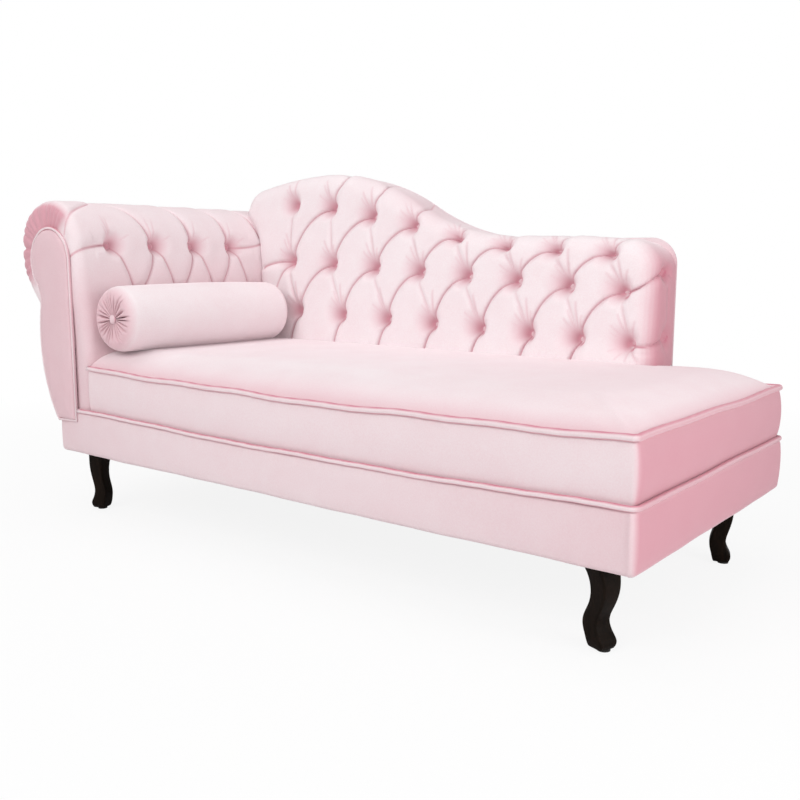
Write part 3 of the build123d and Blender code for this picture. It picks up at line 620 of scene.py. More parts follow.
def cord_tube(name, points, radius, closed=False):
    """A round cord along points, made as a bevelled curve and turned into a mesh."""
    line = bpy.data.curves.new(name, "CURVE")
    line.dimensions = "3D"
    line.bevel_depth = radius
    line.bevel_resolution = welt_sides // 4
    line.use_fill_caps = not closed
    spline = line.splines.new("POLY")
    spline.points.add(len(points) - 1)
    for point, co in zip(spline.points, points):
        point.co = (*co, 1)
    spline.use_cyclic_u = closed
    bm = bmesh.new()
    bm.from_mesh(drawn_mesh(line))
    merge_points(bm)
    return bm


def sewn_welt(name, node, points, radius, closed=False):
    """A fabric welt with puckers along it, standing for its CAD node."""
    bm = cord_tube(name, points, radius, closed)
    push_out(bm, lambda co: welt_pucker * sin(420 * co.x + 380 * co.y + 300 * co.z))
    # Painted shade over the welt, deepest on the cord's upper and lower sides
    marks = paint_shade(bm, welt_shade)
    for v in bm.verts:
        v[marks] = max(0.8 * v[marks], share_between(abs(v.normal.z), 0.55, 0.85))
    return cover_piece(name, bm, [node])


welt_low, welt_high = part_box("base_welt")
base_welt_level = (welt_low.z + welt_high.z) / 2
base_route = run_round(
    welt_reach_in, base_welt_level, welt_low.x, arm_inner + 0.001, base_corner - welt_reach_in
)
for co in base_route:
    co.z += 0.6 * seam_wander(co.x + 0.3, co.y)
hang_down(base_route)
sewn_welt("base_piping", "base_welt", base_route, base_welt_radius)

# Seat cushion: a boxed foam cushion in a sewn cover, crowned above its welt and cut round the back.
# Its cover is inflated by a short cloth simulation with the seams held, so the panels swell between them.
back_low, back_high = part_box("back_pad")
back_right = back_high.x
seat_crown = seat_high.z - seat_edge
seat_corner = base_corner - seat_set_back
seat_back_y = 0.258
seat_cell = 0.010
crown_run = 0.15
seat_pinch = 0.002
seat_bulge = 0.0049
foot_end_bulge = 0.0105
boxing_rows = 9
boxing_wave = 0.0009
boxing_pinch = 0.0015
seat_puff_cap = 0.006
seat_pressure = 6.0
seat_puff_frames = 14
# How much shade is painted: over the cover, on the crown's slope down to the welt, and towards the foot end
seat_shade = 0.16
seat_edge_shade = 0.45
seat_foot_shade = 0.14


def seat_height(x, y):
    """Height of the cushion top over a place: a quick rise from each free edge, then nearly level."""
    to_front = y - seat_low.y
    to_end = seat_high.x - x
    to_rear = seat_high.y - y if x > back_right else crown_run
    rise = 1.0
    for distance in (to_front, to_end, to_rear):
        rise *= (1 - (1 - share_between(distance, 0, crown_run)) ** 2.6) ** 0.75
    return seat_edge + seam_wander(x, y) * (1 - rise) + seat_crown * rise - seat_pinch * (1 - rise)


def round_corner(x, y):
    """Draw a square grid in to the rounded plan corner at the foot end."""
    centre_x = seat_high.x - seat_corner
    centre_y = (seat_high.y - seat_corner) * (1 if y > 0 else -1)
    dx, dy = x - centre_x, y - centre_y
    if dx <= 0 or dy * centre_y <= 0:
        return x, y
    pull = max(dx, abs(dy)) / hypot(dx, dy)
    return centre_x + dx * pull, centre_y + dy * pull


seat_size = seat_high - seat_low
seat_mesh = level_grid(seat_low, seat_high, round(seat_size.x / seat_cell), round(seat_size.y / seat_cell))
for spot, across in (((back_right, 0, 0), (1, 0, 0)), ((0, seat_back_y, 0), (0, 1, 0))):
    geom = seat_mesh.verts[:] + seat_mesh.edges[:] + seat_mesh.faces[:]
    bmesh.ops.bisect_plane(seat_mesh, geom=geom, dist=1e-4, plane_co=spot, plane_no=across)
behind = []
for f in seat_mesh.faces:
    middle = f.calc_center_median()
    if middle.x < back_right and middle.y > seat_back_y:
        behind.append(f)
bmesh.ops.delete(seat_mesh, geom=behind, context="FACES")
for v in seat_mesh.verts:
    x, y = round_corner(v.co.x, v.co.y)
    v.co = (x, y, seat_height(x, y))
rim = [e for e in seat_mesh.edges if e.is_boundary]
for row in range(boxing_rows, 0, -1):
    grown = bmesh.ops.extrude_edge_only(seat_mesh, edges=rim)["geom"]
    rim = [e for e in pick(grown, bmesh.types.BMEdge) if e.is_boundary]
    for v in pick(grown, bmesh.types.BMVert):
        v.co.z += (seat_low.z - v.co.z) / row
face_out(seat_mesh)


def is_free_side(co):
    """Whether a point of the boxing shows, at the front, the foot end or the rear past the back."""
    at_end = co.x > seat_high.x - seat_corner - 1e-4
    at_front = co.y < seat_low.y + 1e-4
    at_rear = co.y > seat_high.y - 1e-4 and co.x > back_right
    return at_end or at_front or at_rear


def boxing_swell(co):
    """How far the boxing stands out between its two seams."""
    if co.z > seat_edge - 0.004 or not is_free_side(co):
        return 0.0
    share = (co.z - seat_low.z) / (seat_edge - seat_low.z)
    bulge = foot_end_bulge if co.x > seat_high.x - seat_corner else seat_bulge
    return (bulge + ripple(co, boxing_wave)) * sin(pi * share) ** 0.6 - boxing_pinch


push_out(seat_mesh, boxing_swell)
seat_draft = plain_mesh("seat_draft", seat_mesh)


def inflate(mesh, held, cap, pressure, frames):
    """Let a cover swell by cloth simulation with the held vertices fixed, no point moving past a cap."""
    carrier = add_object("draft", mesh)
    start = np.zeros(len(mesh.vertices) * 3)
    mesh.vertices.foreach_get("co", start)
    sewn = carrier.vertex_groups.new(name="sewn")
    sewn.add([int(i) for i in np.flatnonzero(held)], 1.0, "REPLACE")
    cloth = carrier.modifiers.new("cloth", "CLOTH")
    cloth.settings.use_pressure = True
    cloth.settings.uniform_pressure_force = pressure
    cloth.settings.vertex_group_mass = "sewn"
    cloth.settings.effector_weights.gravity = 0
    cloth.settings.quality = 3
    cloth.settings.tension_stiffness = 20
    cloth.settings.bending_stiffness = 1.5
    scene = bpy.context.scene
    for number in range(1, frames + 1):
        scene.frame_set(number)
    swollen = carrier.evaluated_get(bpy.context.evaluated_depsgraph_get())
    ended = np.zeros(len(start))
    swollen.data.vertices.foreach_get("co", ended)
    bpy.data.objects.remove(carrier)
    scene.frame_set(1)
    move = (ended - start).reshape(-1, 3)
    length = np.linalg.norm(move, axis=1, keepdims=True)
    move *= np.minimum(1, cap / np.maximum(length, 1e-9))
    mesh.vertices.foreach_set("co", start + move.ravel())
    mesh.update()


seat_points = np.array([v.co for v in seat_draft.vertices])
seat_held = (abs(seat_points[:, 2] - seat_edge) < 0.005) | (seat_points[:, 2] < seat_low.z + 0.004)
seat_held |= seat_points[:, 0] < seat_low.x + 0.001
seat_held |= (seat_points[:, 0] < back_right + 0.002) & (seat_points[:, 1] > seat_back_y - 0.001)
inflate(seat_draft, seat_held, seat_puff_cap, seat_pressure, seat_puff_frames)
seat_mesh = bmesh.new()
seat_mesh.from_mesh(drawn_mesh(seat_draft, "SUBSURF", levels=1, render_levels=1))
bmesh.ops.edgeloop_fill(seat_mesh, edges=[e for e in seat_mesh.edges if e.is_boundary])
face_out(seat_mesh)
# Painted shade over the cushion, more on the crown's slope down to the welt and on the top towards the foot
# end
seat_shade_marks = paint_shade(seat_mesh, seat_shade)
for v in seat_mesh.verts:
    rise = (v.co.z - seat_edge) / seat_crown
    if rise > 0:
        near_foot = share_between(v.co.x, 0.2, 0.7)
        v[seat_shade_marks] = max(seat_edge_shade * max(0, 1 - rise) ** 1.3, seat_foot_shade * near_foot)
hang_down([v.co for v in seat_mesh.verts])
seat_cushion = cover_piece("seat_cushion", seat_mesh, ["seat_cover", "seat_foam"])

seat_route = run_round(seat_set_back, seat_edge, seat_low.x + 0.001, back_right + 0.001, seat_corner)
for co in seat_route:
    co.z += seam_wander(co.x, co.y)
hang_down(seat_route)
sewn_welt("seat_piping", "seat_welt", seat_route, seat_welt_radius)

# Rolled arm: one padded cover over the inside and the roll, drawn in by buttons and folded in diamonds.
# It is pulled round the front to the facing, where it gathers. The pad is sculpted by moving vertices.
roll_radius = 0.132
arm_pad_thickness = 0.056
arm_front_round = 0.024
tuft_cell = 0.0036
outline_step = 0.009
tuft_depth = 0.030
puff = 0.006
wrinkle_depth = 0.0042
arm_gathers = 27
gather_depth = 0.003
notch_angle = 3.12
notch_depth = 0.007
ring_puff = 0.007
ring_droop = 0.011
button_spread = 0.036
arm_row = 4
rear_fold = (0.285, 0.332, 0.010)
arm_low, arm_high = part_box("arm_pad")
roll_x = arm_low.x + roll_radius
roll_z = arm_high.z - roll_radius
seat_top = seat_high.z


class Pencil:
    """Draws an outline in front view, each stroke going on from the end and heading of the last."""

    def __init__(self, x, z, heading=pi / 2):
        self.points = [(x, z)]
        self.heading = heading

    def line_to(self, x, z):
        last_x, last_z = self.points[-1]
        self.heading = atan2(z - last_z, x - last_x)
        self.points.append((x, z))

    def arc(self, radius, turn):
        side = 1 if turn > 0 else -1
        x, z = self.points[-1]
        centre_x = x - side * radius * sin(self.heading)
        centre_z = z + side * radius * cos(self.heading)
        steps = max(3, round(abs(turn) * radius / outline_step))
        for i in range(1, steps + 1):
            angle = self.heading + turn * i / steps
            self.points.append(
                (centre_x + side * radius * sin(angle), centre_z - side * radius * cos(angle))
            )
        self.heading += turn

    def arc_to(self, x, z):
        dx, dz = x - self.points[-1][0], z - self.points[-1][1]
        half = (atan2(dz, dx) - self.heading + pi) % (2 * pi) - pi
        self.arc(abs(hypot(dx, dz) / (2 * sin(half))), 2 * half)


def tangent_point(start, side):
    """Point where a line from start touches the roll, on its right (side 1) or its left (side -1)."""
    reach = hypot(roll_x - start[0], roll_z - start[1])
    heading = atan2(roll_z - start[1], roll_x - start[0]) - side * asin(roll_radius / reach)
    length = sqrt(reach**2 - roll_radius**2)
    return start[0] + length * cos(heading), start[1] + length * sin(heading)


facing_radius = 0.090
facing_roll_margin = 0.077
facing_lap = 0.027
facing_waist_inset = 0.041
facing_waist_drop = 0.115
facing_belly_turn = radians(12)
facing_foot_inset = 0.004
arm_panel_thickness = 0.010
arm_under_drop = 0.020
facing_right = arm_inner - arm_pad_thickness
facing_top = arm_high.z - facing_roll_margin
scroll_x = facing_right - facing_radius
scroll_z = facing_top - facing_radius
waist_x = facing_right - 2 * facing_radius + facing_waist_inset
waist_z = scroll_z - facing_waist_drop
under_roll = (waist_x - arm_panel_thickness, waist_z - arm_under_drop)
shoulder = (arm_inner, seat_top)
inner_touch = tangent_point(shoulder, 1)
outer_touch = tangent_point(under_roll, -1)
roll_start = atan2(inner_touch[1] - roll_z, inner_touch[0] - roll_x)
roll_end = atan2(outer_touch[1] - roll_z, outer_touch[0] - roll_x) % (2 * pi)


def draw_arm_top(pencil):
    """The inside of the arm from the seat up, over the roll and in under it."""
    pencil.line_to(*shoulder)
    pencil.line_to(*inner_touch)
    pencil.heading = roll_start + pi / 2
    pencil.arc(roll_radius, roll_end - roll_start)
    pencil.line_to(*under_roll)


def block(points, front, rear):
    """A closed form of one front-view outline between two depths."""
    bm = bmesh.new()
    face = bm.faces.new([bm.verts.new((x, front, z)) for x, z in points])
    grown = bmesh.ops.extrude_face_region(bm, geom=[face])["geom"]
    bmesh.ops.translate(bm, vec=(0, rear - front, 0), verts=pick(grown, bmesh.types.BMVert))
    face_out(bm)
    return bm


def rim_edges(bm, depth, above):
    """The edges round a block's face at one depth, above a height."""
    return [
        e
        for e in bm.edges
        if all(abs(v.co.y - depth) < 1e-6 for v in e.verts) and max(v.co.z for v in e.verts) > above
    ]


def even_mesh(bm, cell):
    """Rebuild a closed form with small even faces, ready for sculpting."""
    return drawn_mesh(plain_mesh("draft", bm), "REMESH", mode="VOXEL", voxel_size=cell)


def read_points(mesh):
    """Places and normals of a mesh's vertices."""
    count = len(mesh.vertices) * 3
    places, normals = np.zeros(count), np.zeros(count)
    mesh.vertices.foreach_get("co", places)
    mesh.vertex_normals.foreach_get("vector", normals)
    return places.reshape(-1, 3), normals.reshape(-1, 3)


def bend(start, start_pull, end_pull, end, count=16):
    """Points along a curve from start to end, drawn towards two other points on the way."""
    t = np.linspace(0, 1, count)[:, None]
    corners = [np.array(p, float) for p in (start, start_pull, end_pull, end)]
    weights = ((1 - t) ** 3, 3 * t * (1 - t) ** 2, 3 * t**2 * (1 - t), t**3)
    return sum(w * c for w, c in zip(weights, corners))


def ramp(values, start, end):
    """How far each value lies on the way from start to end, from 0 to 1."""
    return np.clip((values - start) / (end - start), 0, 1)


def hump(values, middle, width):
    """1 at a middle value, and less to both sides of it."""
    return np.exp(-(((values - middle) / width) ** 2))


class Tufting:
    """Gathers how far buttons, pleats and wrinkles draw in a cover that is laid out flat.

    The cloth lies over from one side: it comes down to a crease slowly on its open side, and steeply on the
    other, where the next puff lies over it. The open way is an angle on the flat cover. It also gathers
    shade painted into the creases, the dimples and the wrinkles, a deeper pink for the cloth's colour.
    """

    blend = 3.0
    # Width of the painted shade along a crease
    crack_width = 0.0038
    lip_height = 0.0016

    def __init__(self, spots, open_way):
        self.spots = spots
        self.open_way = np.array([cos(open_way), sin(open_way)])
        self.powers = np.zeros(len(spots))
        self.lift = np.zeros(len(spots))
        self.painted_shade = np.zeros(len(spots))
        self.floor = np.full(len(spots), np.inf)

    def near_line(self, line, width):
        """The spots near a line: which they are, how far off, how far along, and if on the open side."""
        line = np.asarray(line, float)
        inside = (self.spots > line.min(0) - width) & (self.spots < line.max(0) + width)
        near = np.flatnonzero(inside.all(1))
        p = self.spots[near]
        best = np.full(len(p), width)
        along = np.zeros(len(p))
        is_open = np.zeros(len(p), bool)
        for i, (a, b) in enumerate(zip(line[:-1], line[1:])):
            run = b - a
            t = np.clip((p - a) @ run / (run @ run), 0, 1)
            offset = p - a - t[:, None] * run
            away = np.linalg.norm(offset, axis=1)
            closer = away < best
            best[closer] = away[closer]
            along[closer] = (i + t[closer]) / (len(line) - 1)
            across = np.array([-run[1], run[0]])
            across *= np.sign(across @ self.open_way)
            is_open[closer] = (offset @ across)[closer] > 0
        return near, best, along, is_open

    def pleat(self, line, depths, open_width, steep_width, shape=2.2, crease_shade=0.0):
        """Draw the cover in along a line, by depths spread over its length, with painted shade along the
        crease if asked.
        """
        near, away, along, is_open = self.near_line(line, max(open_width, steep_width))
        depth = np.interp(along, np.linspace(0, 1, len(depths)), depths)
        reach = np.where(is_open, open_width, steep_width)
        share = np.clip(1 - away / reach, 0, 1)
        self.powers[near] += (depth * share ** np.where(is_open, shape, 1.3)) ** self.blend
        # Painted shade along the crease, darker where the pleat is deeper
        if crease_shade:
            shade = crease_shade * hump(away, 0, self.crack_width) * (0.5 + 0.5 * depth / max(depths))
            self.painted_shade[near] = np.maximum(self.painted_shade[near], shade)

    def seam(self, line, depths, crease_shade=0.9):
        """A folded pleat: a slope on its open side, a tight crack with painted shade in it, and a rounded
        lip on the other side.
        """
        self.pleat(line, [0.62 * d for d in depths], 0.050, 0.020, 2.4)
        self.pleat(line, [1.15 * d for d in depths], 0.011, 0.008, 1.2, crease_shade)
        near, away, along, is_open = self.near_line(line, 0.06)
        lip = self.lip_height * hump(away, 0.030, 0.018) * ~is_open * np.sin(pi * along) ** 0.5
        self.lift[near] = np.maximum(self.lift[near], lip)

    def button(self, spot, depth, seat=0.0105, width=0.054, skew=0.42):
        """Draw the cover in to a button, further out on the open side, with painted shade in the dimple and
        a crescent on the steep side.
        """
        offset = self.spots - np.array(spot)
        away = np.linalg.norm(offset, axis=1)
        facing = offset @ self.open_way / np.maximum(away, 1e-6)
        reach = width * (1 + skew * facing)
        share = np.clip(1 - (away - seat) / (reach - seat), 0, 1)
        self.powers += (depth * share**2.2) ** self.blend
        self.floor = np.minimum(self.floor, depth + 0.003 + 0.35 * np.maximum(away - seat, 0))
        # Painted shade in the dimple, more on its open side, and a dark crescent on its steep side
        shade = 0.75 * share**1.7 * np.clip(0.65 + 0.5 * facing, 0.15, 1)
        shaded_crescent = hump(away, 0.013, 0.005) * np.clip(0.2 - facing, 0, 1)
        self.painted_shade = np.maximum(self.painted_shade, np.maximum(shade, shaded_crescent))

    def fan(self, spot, angles, lengths, depth):
        """Short wrinkles that run out from a button, with painted shade in them."""
        for angle, length in zip(angles, lengths):
            heading = np.array([cos(angle), sin(angle)])
            side = np.array([-sin(angle), cos(angle)])
            start = np.array(spot) + 0.010 * heading
            end = start + length * heading + 0.10 * length * side
            line = bend(start, start + 0.4 * length * heading, end - 0.3 * length * heading, end, 7)
            self.pleat(line, [depth, 0.8 * depth, 0], 0.008, 0.006, 1.3, 0.4)

    def draw_in(self):
        """How far each spot is drawn in, all pulls together."""
        return np.minimum(self.powers ** (1 / self.blend), self.floor) - self.lift


def button_places(node):
    """Middle of each button of a CAD node."""
    heaps = []
    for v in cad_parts[node].data.vertices:
        heap = next((h for h in heaps if (h[0] - v.co).length < button_spread), None)
        if heap:
            heap.append(v.co)
        else:
            heaps.append([v.co])
    return [(Vector(map(min, *h)) + Vector(map(max, *h))) / 2 for h in heaps]


def sculpted_piece(name, mesh, places, painted_shade, nodes, body="recamier"):
    """Make a piece of a sculpted cover, with the shade painted in its folds marked for the fabric's colour.
    """
    mesh.vertices.foreach_set("co", places.ravel())
    marks = mesh.attributes.new("painted_shade", "FLOAT", "POINT")
    marks.data.foreach_set("value", np.clip(painted_shade, 0, 1).astype(np.float32))
    mesh.update()
    bm = bmesh.new()
    bm.from_mesh(mesh)
    return cover_piece(name, bm, nodes, body)


arm_pencil = Pencil(arm_inner, base_high.z)
draw_arm_top(arm_pencil)
arm_pencil.line_to(scroll_x, under_roll[1])
arm_pencil.line_to(scroll_x, base_high.z)
arm_block = block(arm_pencil.points, arm_low.y, arm_high.y)
arm_front_edges = []
for e in rim_edges(arm_block, arm_low.y, base_high.z + 0.001):
    inside = min(v.co.x for v in e.verts) > scroll_x + 0.001
    if inside or min(v.co.z for v in e.verts) > under_roll[1] + 0.001:
        arm_front_edges.append(e)
round_edges(arm_block, arm_front_edges, arm_front_round, 6)
arm_mesh = even_mesh(arm_block, tuft_cell)
arm_places, arm_normals = read_points(arm_mesh)
arm_lean = np.array([inner_touch[0] - shoulder[0], inner_touch[1] - shoulder[1]])
lean_length = np.linalg.norm(arm_lean)
arm_lean /= lean_length
lean_normal = np.array([arm_lean[1], -arm_lean[0]])


def lay_out_arm(places):
    """Lay the arm cover out flat: along the arm, and up the inside and over the roll."""
    from_shoulder = places[:, [0, 2]] - np.array(shoulder)
    from_roll = places[:, [0, 2]] - np.array([roll_x, roll_z])
    angle = np.arctan2(from_roll[:, 1], from_roll[:, 0])
    angle = np.where(angle < -pi / 2, angle + 2 * pi, angle)
    on_roll = angle > roll_start
    up = np.where(on_roll, lean_length + roll_radius * (angle - roll_start), from_shoulder @ arm_lean)
    sunk = np.where(on_roll, roll_radius - np.linalg.norm(from_roll, axis=1), -from_shoulder @ lean_normal)
    sunk = np.clip(sunk, 0, 0.08)
    along = places[:, 1] - np.where(places[:, 1] < 0, sunk, -sunk)
    return np.column_stack([along, up]), angle, sunk


arm_spots, arm_angles, arm_sunk = lay_out_arm(arm_places)
arm_tufts = Tufting(arm_spots, radians(8))
arm_buttons = sorted(button_places("arm_buttons"), key=lambda p: -p.z)
arm_flat = lay_out_arm(np.array([list(p) for p in arm_buttons]))[0]
arm_rows = [(p.y, up) for p, (_, up) in zip(arm_buttons, arm_flat)]
arm_upper, arm_lower = sorted(arm_rows[:arm_row]), sorted(arm_rows[arm_row:])
for y, up in arm_upper + arm_lower:
    arm_tufts.button((y, up), tuft_depth)
for number, (y, up) in enumerate(arm_upper):
    for low_y, low_up in arm_lower[max(0, number - 1) : number + 1]:
        dy, du = low_y - y, low_up - up
        if dy > 0:
            pulls = (y + 0.45 * dy, up + 0.12 * du), (y + 0.8 * dy, up + 0.55 * du)
        else:
            pulls = (y, up + 0.4 * du), (y + 0.5 * dy, up + 0.8 * du)
        arm_tufts.seam(bend((y, up), *pulls, (low_y, low_up)), [0.022, 0.008, 0.009, 0.022])
    jitter = 0.12 * sin(5.0 * number + 1)
    angles = [1.35 + jitter, 1.58, 1.85 - jitter, 0.35]
    arm_tufts.fan((y, up), angles, [0.075, 0.08, 0.05, 0.06], wrinkle_depth)
arc_depths = [0.022, 0.010, 0.010, 0.012, 0.010]
for y, up, first in [(*spot, 0.022) for spot in arm_upper[2:]] + [rear_fold]:
    over = bend((y, up), (y - 0.014, up + 0.07), (y - 0.02, up + 0.14), (y - 0.05, up + 0.185))
    beyond = bend(over[-1], over[-1] + [-0.01, 0.05], over[-1] + [-0.02, 0.2], over[-1] + [-0.02, 0.36], 10)
    arm_tufts.seam(np.vstack([over, beyond[1:]]), [first, *arc_depths[1:]])
second_y, second_up = arm_upper[1]
crossing = np.array([-0.285, 0.475])
over = bend((second_y, second_up), (second_y - 0.02, second_up + 0.07), crossing + [0.06, 0.006], crossing)
beyond = bend(crossing, crossing + [-0.03, 0.02], crossing + [-0.05, 0.1], crossing + [-0.05, 0.34], 10)
arm_tufts.seam(np.vstack([over, beyond[1:]]), arc_depths)
front_fold = bend(crossing, (-0.35, 0.43), (-0.42, 0.395), (-0.448, 0.345))
arm_tufts.pleat(front_fold, [0.010, 0.007, 0.006, 0.004], 0.014, 0.012, 1.4, 0.8)
for y, up in arm_lower:
    arm_tufts.seam(bend((y, up), (y, up - 0.05), (y, up - 0.1), (y, -0.02), 8), [0.020, 0.010, 0.008])
first_y, first_up = arm_upper[0]
pulls = (first_y - 0.04, first_up), (-0.40, first_up - 0.006)
arm_tufts.seam(bend((first_y, first_up), *pulls, (-0.446, first_up - 0.035)), [0.016, 0.007, 0.008])
last_y, last_up = arm_upper[-1]
pulls = (last_y + 0.05, last_up - 0.008), (0.25, last_up)
arm_tufts.seam(bend((last_y, last_up), *pulls, (0.30, last_up + 0.014)), [0.014, 0.006, 0.003])

# The roll's front: gathers and a notch where the cover is drawn to the facing, and a soft ring behind it
arm_y, arm_z = arm_places[:, 1].copy(), arm_places[:, 2].copy()
arm_pull = arm_tufts.draw_in() * np.maximum(ramp(arm_y, arm_low.y, arm_low.y + 0.03), 0.15)
gathers = ramp(arm_sunk, 0, 0.012) * ramp(arm_y, -0.37, -0.39)
gathers *= ramp(arm_angles, 0.5, 0.9) * ramp(arm_angles, 4.3, 3.8)
gather_wave = np.sin(arm_gathers * arm_angles + 2.2 * np.sin(5 * arm_angles)) * 0.5 + 0.5
gather_notch = hump(arm_angles, notch_angle, 0.045) * ramp(arm_y, -0.33, -0.37)
arm_pull += gather_depth * gathers * gather_wave**2 + notch_depth * gather_notch
# Painted shade: the creases and dimples, the gathers and notch at the roll's front, and the inside of the
# arm, deeper low down towards the seat
arm_shade = np.maximum(arm_tufts.painted_shade, 0.5 * gathers * gather_wave**4 + 0.5 * gather_notch)
arm_shade = np.maximum(arm_shade, 0.75 * gathers)
arm_shade = np.maximum(arm_shade, 0.10 + 0.22 * ramp(arm_spots[:, 1], 0.27, 0.15))
on_cover = ramp(arm_angles, -1.2, -0.9) * ramp(arm_z, base_high.z, base_high.z + 0.05)
on_cover *= ramp(arm_y, 0.405, 0.375)
ring_swell = ring_puff * ramp(arm_angles, 1.6, 2.4) * ramp(arm_angles, 4.2, 3.7)
ring_swell *= ramp(arm_y, -0.20, -0.35)
ring_sag = ring_droop * ramp(arm_angles, 3.2, 3.9) * ramp(arm_angles, 4.5, 4.15)
ring_sag *= ramp(arm_y, 0.10, -0.30)
arm_places -= arm_normals * ((arm_pull - puff - ring_swell) * on_cover)[:, None]
arm_places[:, 0] -= ring_sag
arm_places[:, 2] -= 0.4 * ring_sag
arm_piece = sculpted_piece("rolled_arm", arm_mesh, arm_places, arm_shade, ["arm_pad"])

# Covered buttons: a domed metal mould wrapped in the cover fabric, tied down through the padding.
# Each one sits on the floor of its dimple.
button_radius = 0.0115
button_height = 0.006
button_steps = 24
# How much shade is painted over the buttons
button_shade = 0.32
button_profile = [
    (0, 1.0), (0.35, 0.95), (0.65, 0.80), (0.88, 0.50), (1.0, 0.15), (0.98, -0.2), (0.8, -0.4), (0, -0.4)
]


def turn_profile(bm, points, axis, steps):
    """Spin a line of points right round an axis through the origin."""
    verts = [bm.verts.new(point) for point in points]
    edges = [bm.edges.new(pair) for pair in zip(verts, verts[1:])]
    bmesh.ops.spin(
        bm, geom=verts + edges, cent=(0, 0, 0), axis=axis, angle=2 * pi, steps=steps, use_merge=True
    )


def covered_buttons(name, node, places_and_headings, radius, sink=0.005, body="recamier"):
    """Low fabric domes at places, each facing its own way."""
    bm = bmesh.new()
    dome = [(reach * radius, 0, rise * button_height) for reach, rise in button_profile]
    for place, heading in places_and_headings:
        turn_profile(bm, dome, (0, 0, 1), button_steps)
        fresh = [v for v in bm.verts if not v.tag]
        turn = Vector(heading).to_track_quat("Z", "Y").to_matrix()
        bmesh.ops.rotate(bm, cent=(0, 0, 0), matrix=turn, verts=fresh)
        bmesh.ops.translate(bm, vec=place - sink * Vector(heading), verts=fresh)
        for v in fresh:
            v.tag = True
    merge_points(bm)
    # Painted shade over the buttons, more on their foot-end sides
    paint_shade(bm, button_shade)
    return cover_piece(name, bm, [node], body)


arm_heading = (lean_normal[0], 0, lean_normal[1])
arm_facings = [(p, arm_heading) for p in arm_buttons]
covered_buttons("arm_tuft_buttons", "arm_buttons", arm_facings, button_radius, sink=-0.003)

# Arm facing: a padded panel cut to the scroll, fixed to the front stump and lapped over the base band.
# A welt is sewn round its edge.
facing_welt_radius = 0.0045
facing_welt_inset = 0.0057
facing_dome = 0.006
facing_dome_run = 0.05
facing_cell = 0.004
# How much shade is painted over the facing
facing_shade_depth = 0.42
panel_round = 0.004


def draw_facing_left(pencil):
    """The waist and belly of the facing, from the scroll down to its foot."""
    waist_radius = (facing_waist_inset**2 + facing_waist_drop**2) / (4 * facing_waist_inset)
    waist_turn = 2 * atan2(facing_waist_inset, facing_waist_drop)
    pencil.arc(waist_radius, waist_turn)
    pencil.arc(waist_radius, -waist_turn - facing_belly_turn)
    pencil.arc_to(base_low.x + facing_foot_inset, base_high.z - facing_lap)


facing_pencil = Pencil(facing_right, base_high.z - facing_lap)
facing_pencil.line_to(facing_right, scroll_z)
facing_pencil.arc(facing_radius, pi)
draw_facing_left(facing_pencil)
facing_low, facing_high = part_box("arm_facing")
facing_block = block(facing_pencil.points, facing_low.y, facing_high.y)
round_edges(facing_block, rim_edges(facing_block, facing_low.y, 0), panel_round, 3)
facing_mesh = even_mesh(facing_block, facing_cell)
facing_places = read_points(facing_mesh)[0]
edge_loop = facing_pencil.points + facing_pencil.points[:1]
near, away = Tufting(facing_places[:, [0, 2]], 0).near_line(edge_loop, facing_dome_run)[:2]
from_edge = np.full(len(facing_places), facing_dome_run)
from_edge[near] = away
swell = facing_dome * (1 - (1 - from_edge / facing_dome_run) ** 2.2)
facing_places[:, 1] -= swell * ramp(facing_places[:, 1], facing_low.y + 0.006, facing_low.y)
# Painted shade: the whole facing a deeper pink
facing_shade = np.full(len(facing_places), facing_shade_depth)
facing_piece = sculpted_piece("arm_front_facing", facing_mesh, facing_places, facing_shade, ["arm_facing"])


def grown_outline(points, grow):
    """An outline moved out by an amount."""
    loop = np.array(points)
    ahead, behind = np.roll(loop, -1, 0), np.roll(loop, 1, 0)
    run = ahead - behind
    run /= np.linalg.norm(run, axis=1, keepdims=True)
    return loop + grow * np.column_stack([run[:, 1], -run[:, 0]])


facing_edge = grown_outline(facing_pencil.points, facing_welt_radius)
facing_route = [(x, facing_low.y + facing_welt_inset, z) for x, z in facing_edge]
sewn_welt("facing_piping", "arm_facing_welt", facing_route, facing_welt_radius, closed=True)

# Outside and rear of the arm: plain panels stretched over the frame and closed with blind stitches.
# The outside one follows the waist from under the roll down to the base.
panel_rows = 40
# How much shade is painted over the plain outside and rear panels
outside_shade = 0.2
rear_lap = 0.012
rear_inset = 0.004
outside_pencil = Pencil(facing_right - 2 * facing_radius, scroll_z, -pi / 2)
draw_facing_left(outside_pencil)
outside_curve = [p for p in outside_pencil.points if p[1] < under_roll[1] + 0.004]
outside_mesh = bmesh.new()
curve_verts = [outside_mesh.verts.new((x, arm_low.y, z)) for x, z in outside_curve]
curve_edges = [outside_mesh.edges.new(pair) for pair in zip(curve_verts, curve_verts[1:])]
panel_step = (0, (arm_high.y - arm_low.y) / panel_rows, 0)
for _ in range(panel_rows):
    grown = bmesh.ops.extrude_edge_only(outside_mesh, edges=curve_edges)["geom"]
    curve_edges = pick(grown, bmesh.types.BMEdge)
    curve_edges = [e for e in curve_edges if abs(e.verts[0].co.y - e.verts[1].co.y) < 1e-7]
    bmesh.ops.translate(outside_mesh, vec=panel_step, verts=pick(grown, bmesh.types.BMVert))
face_out(outside_mesh)
if sum(f.normal.x for f in outside_mesh.faces) > 0:
    bmesh.ops.reverse_faces(outside_mesh, faces=outside_mesh.faces[:])
push_out(outside_mesh, lambda co: arm_panel_thickness + ripple(co, 0.0008))
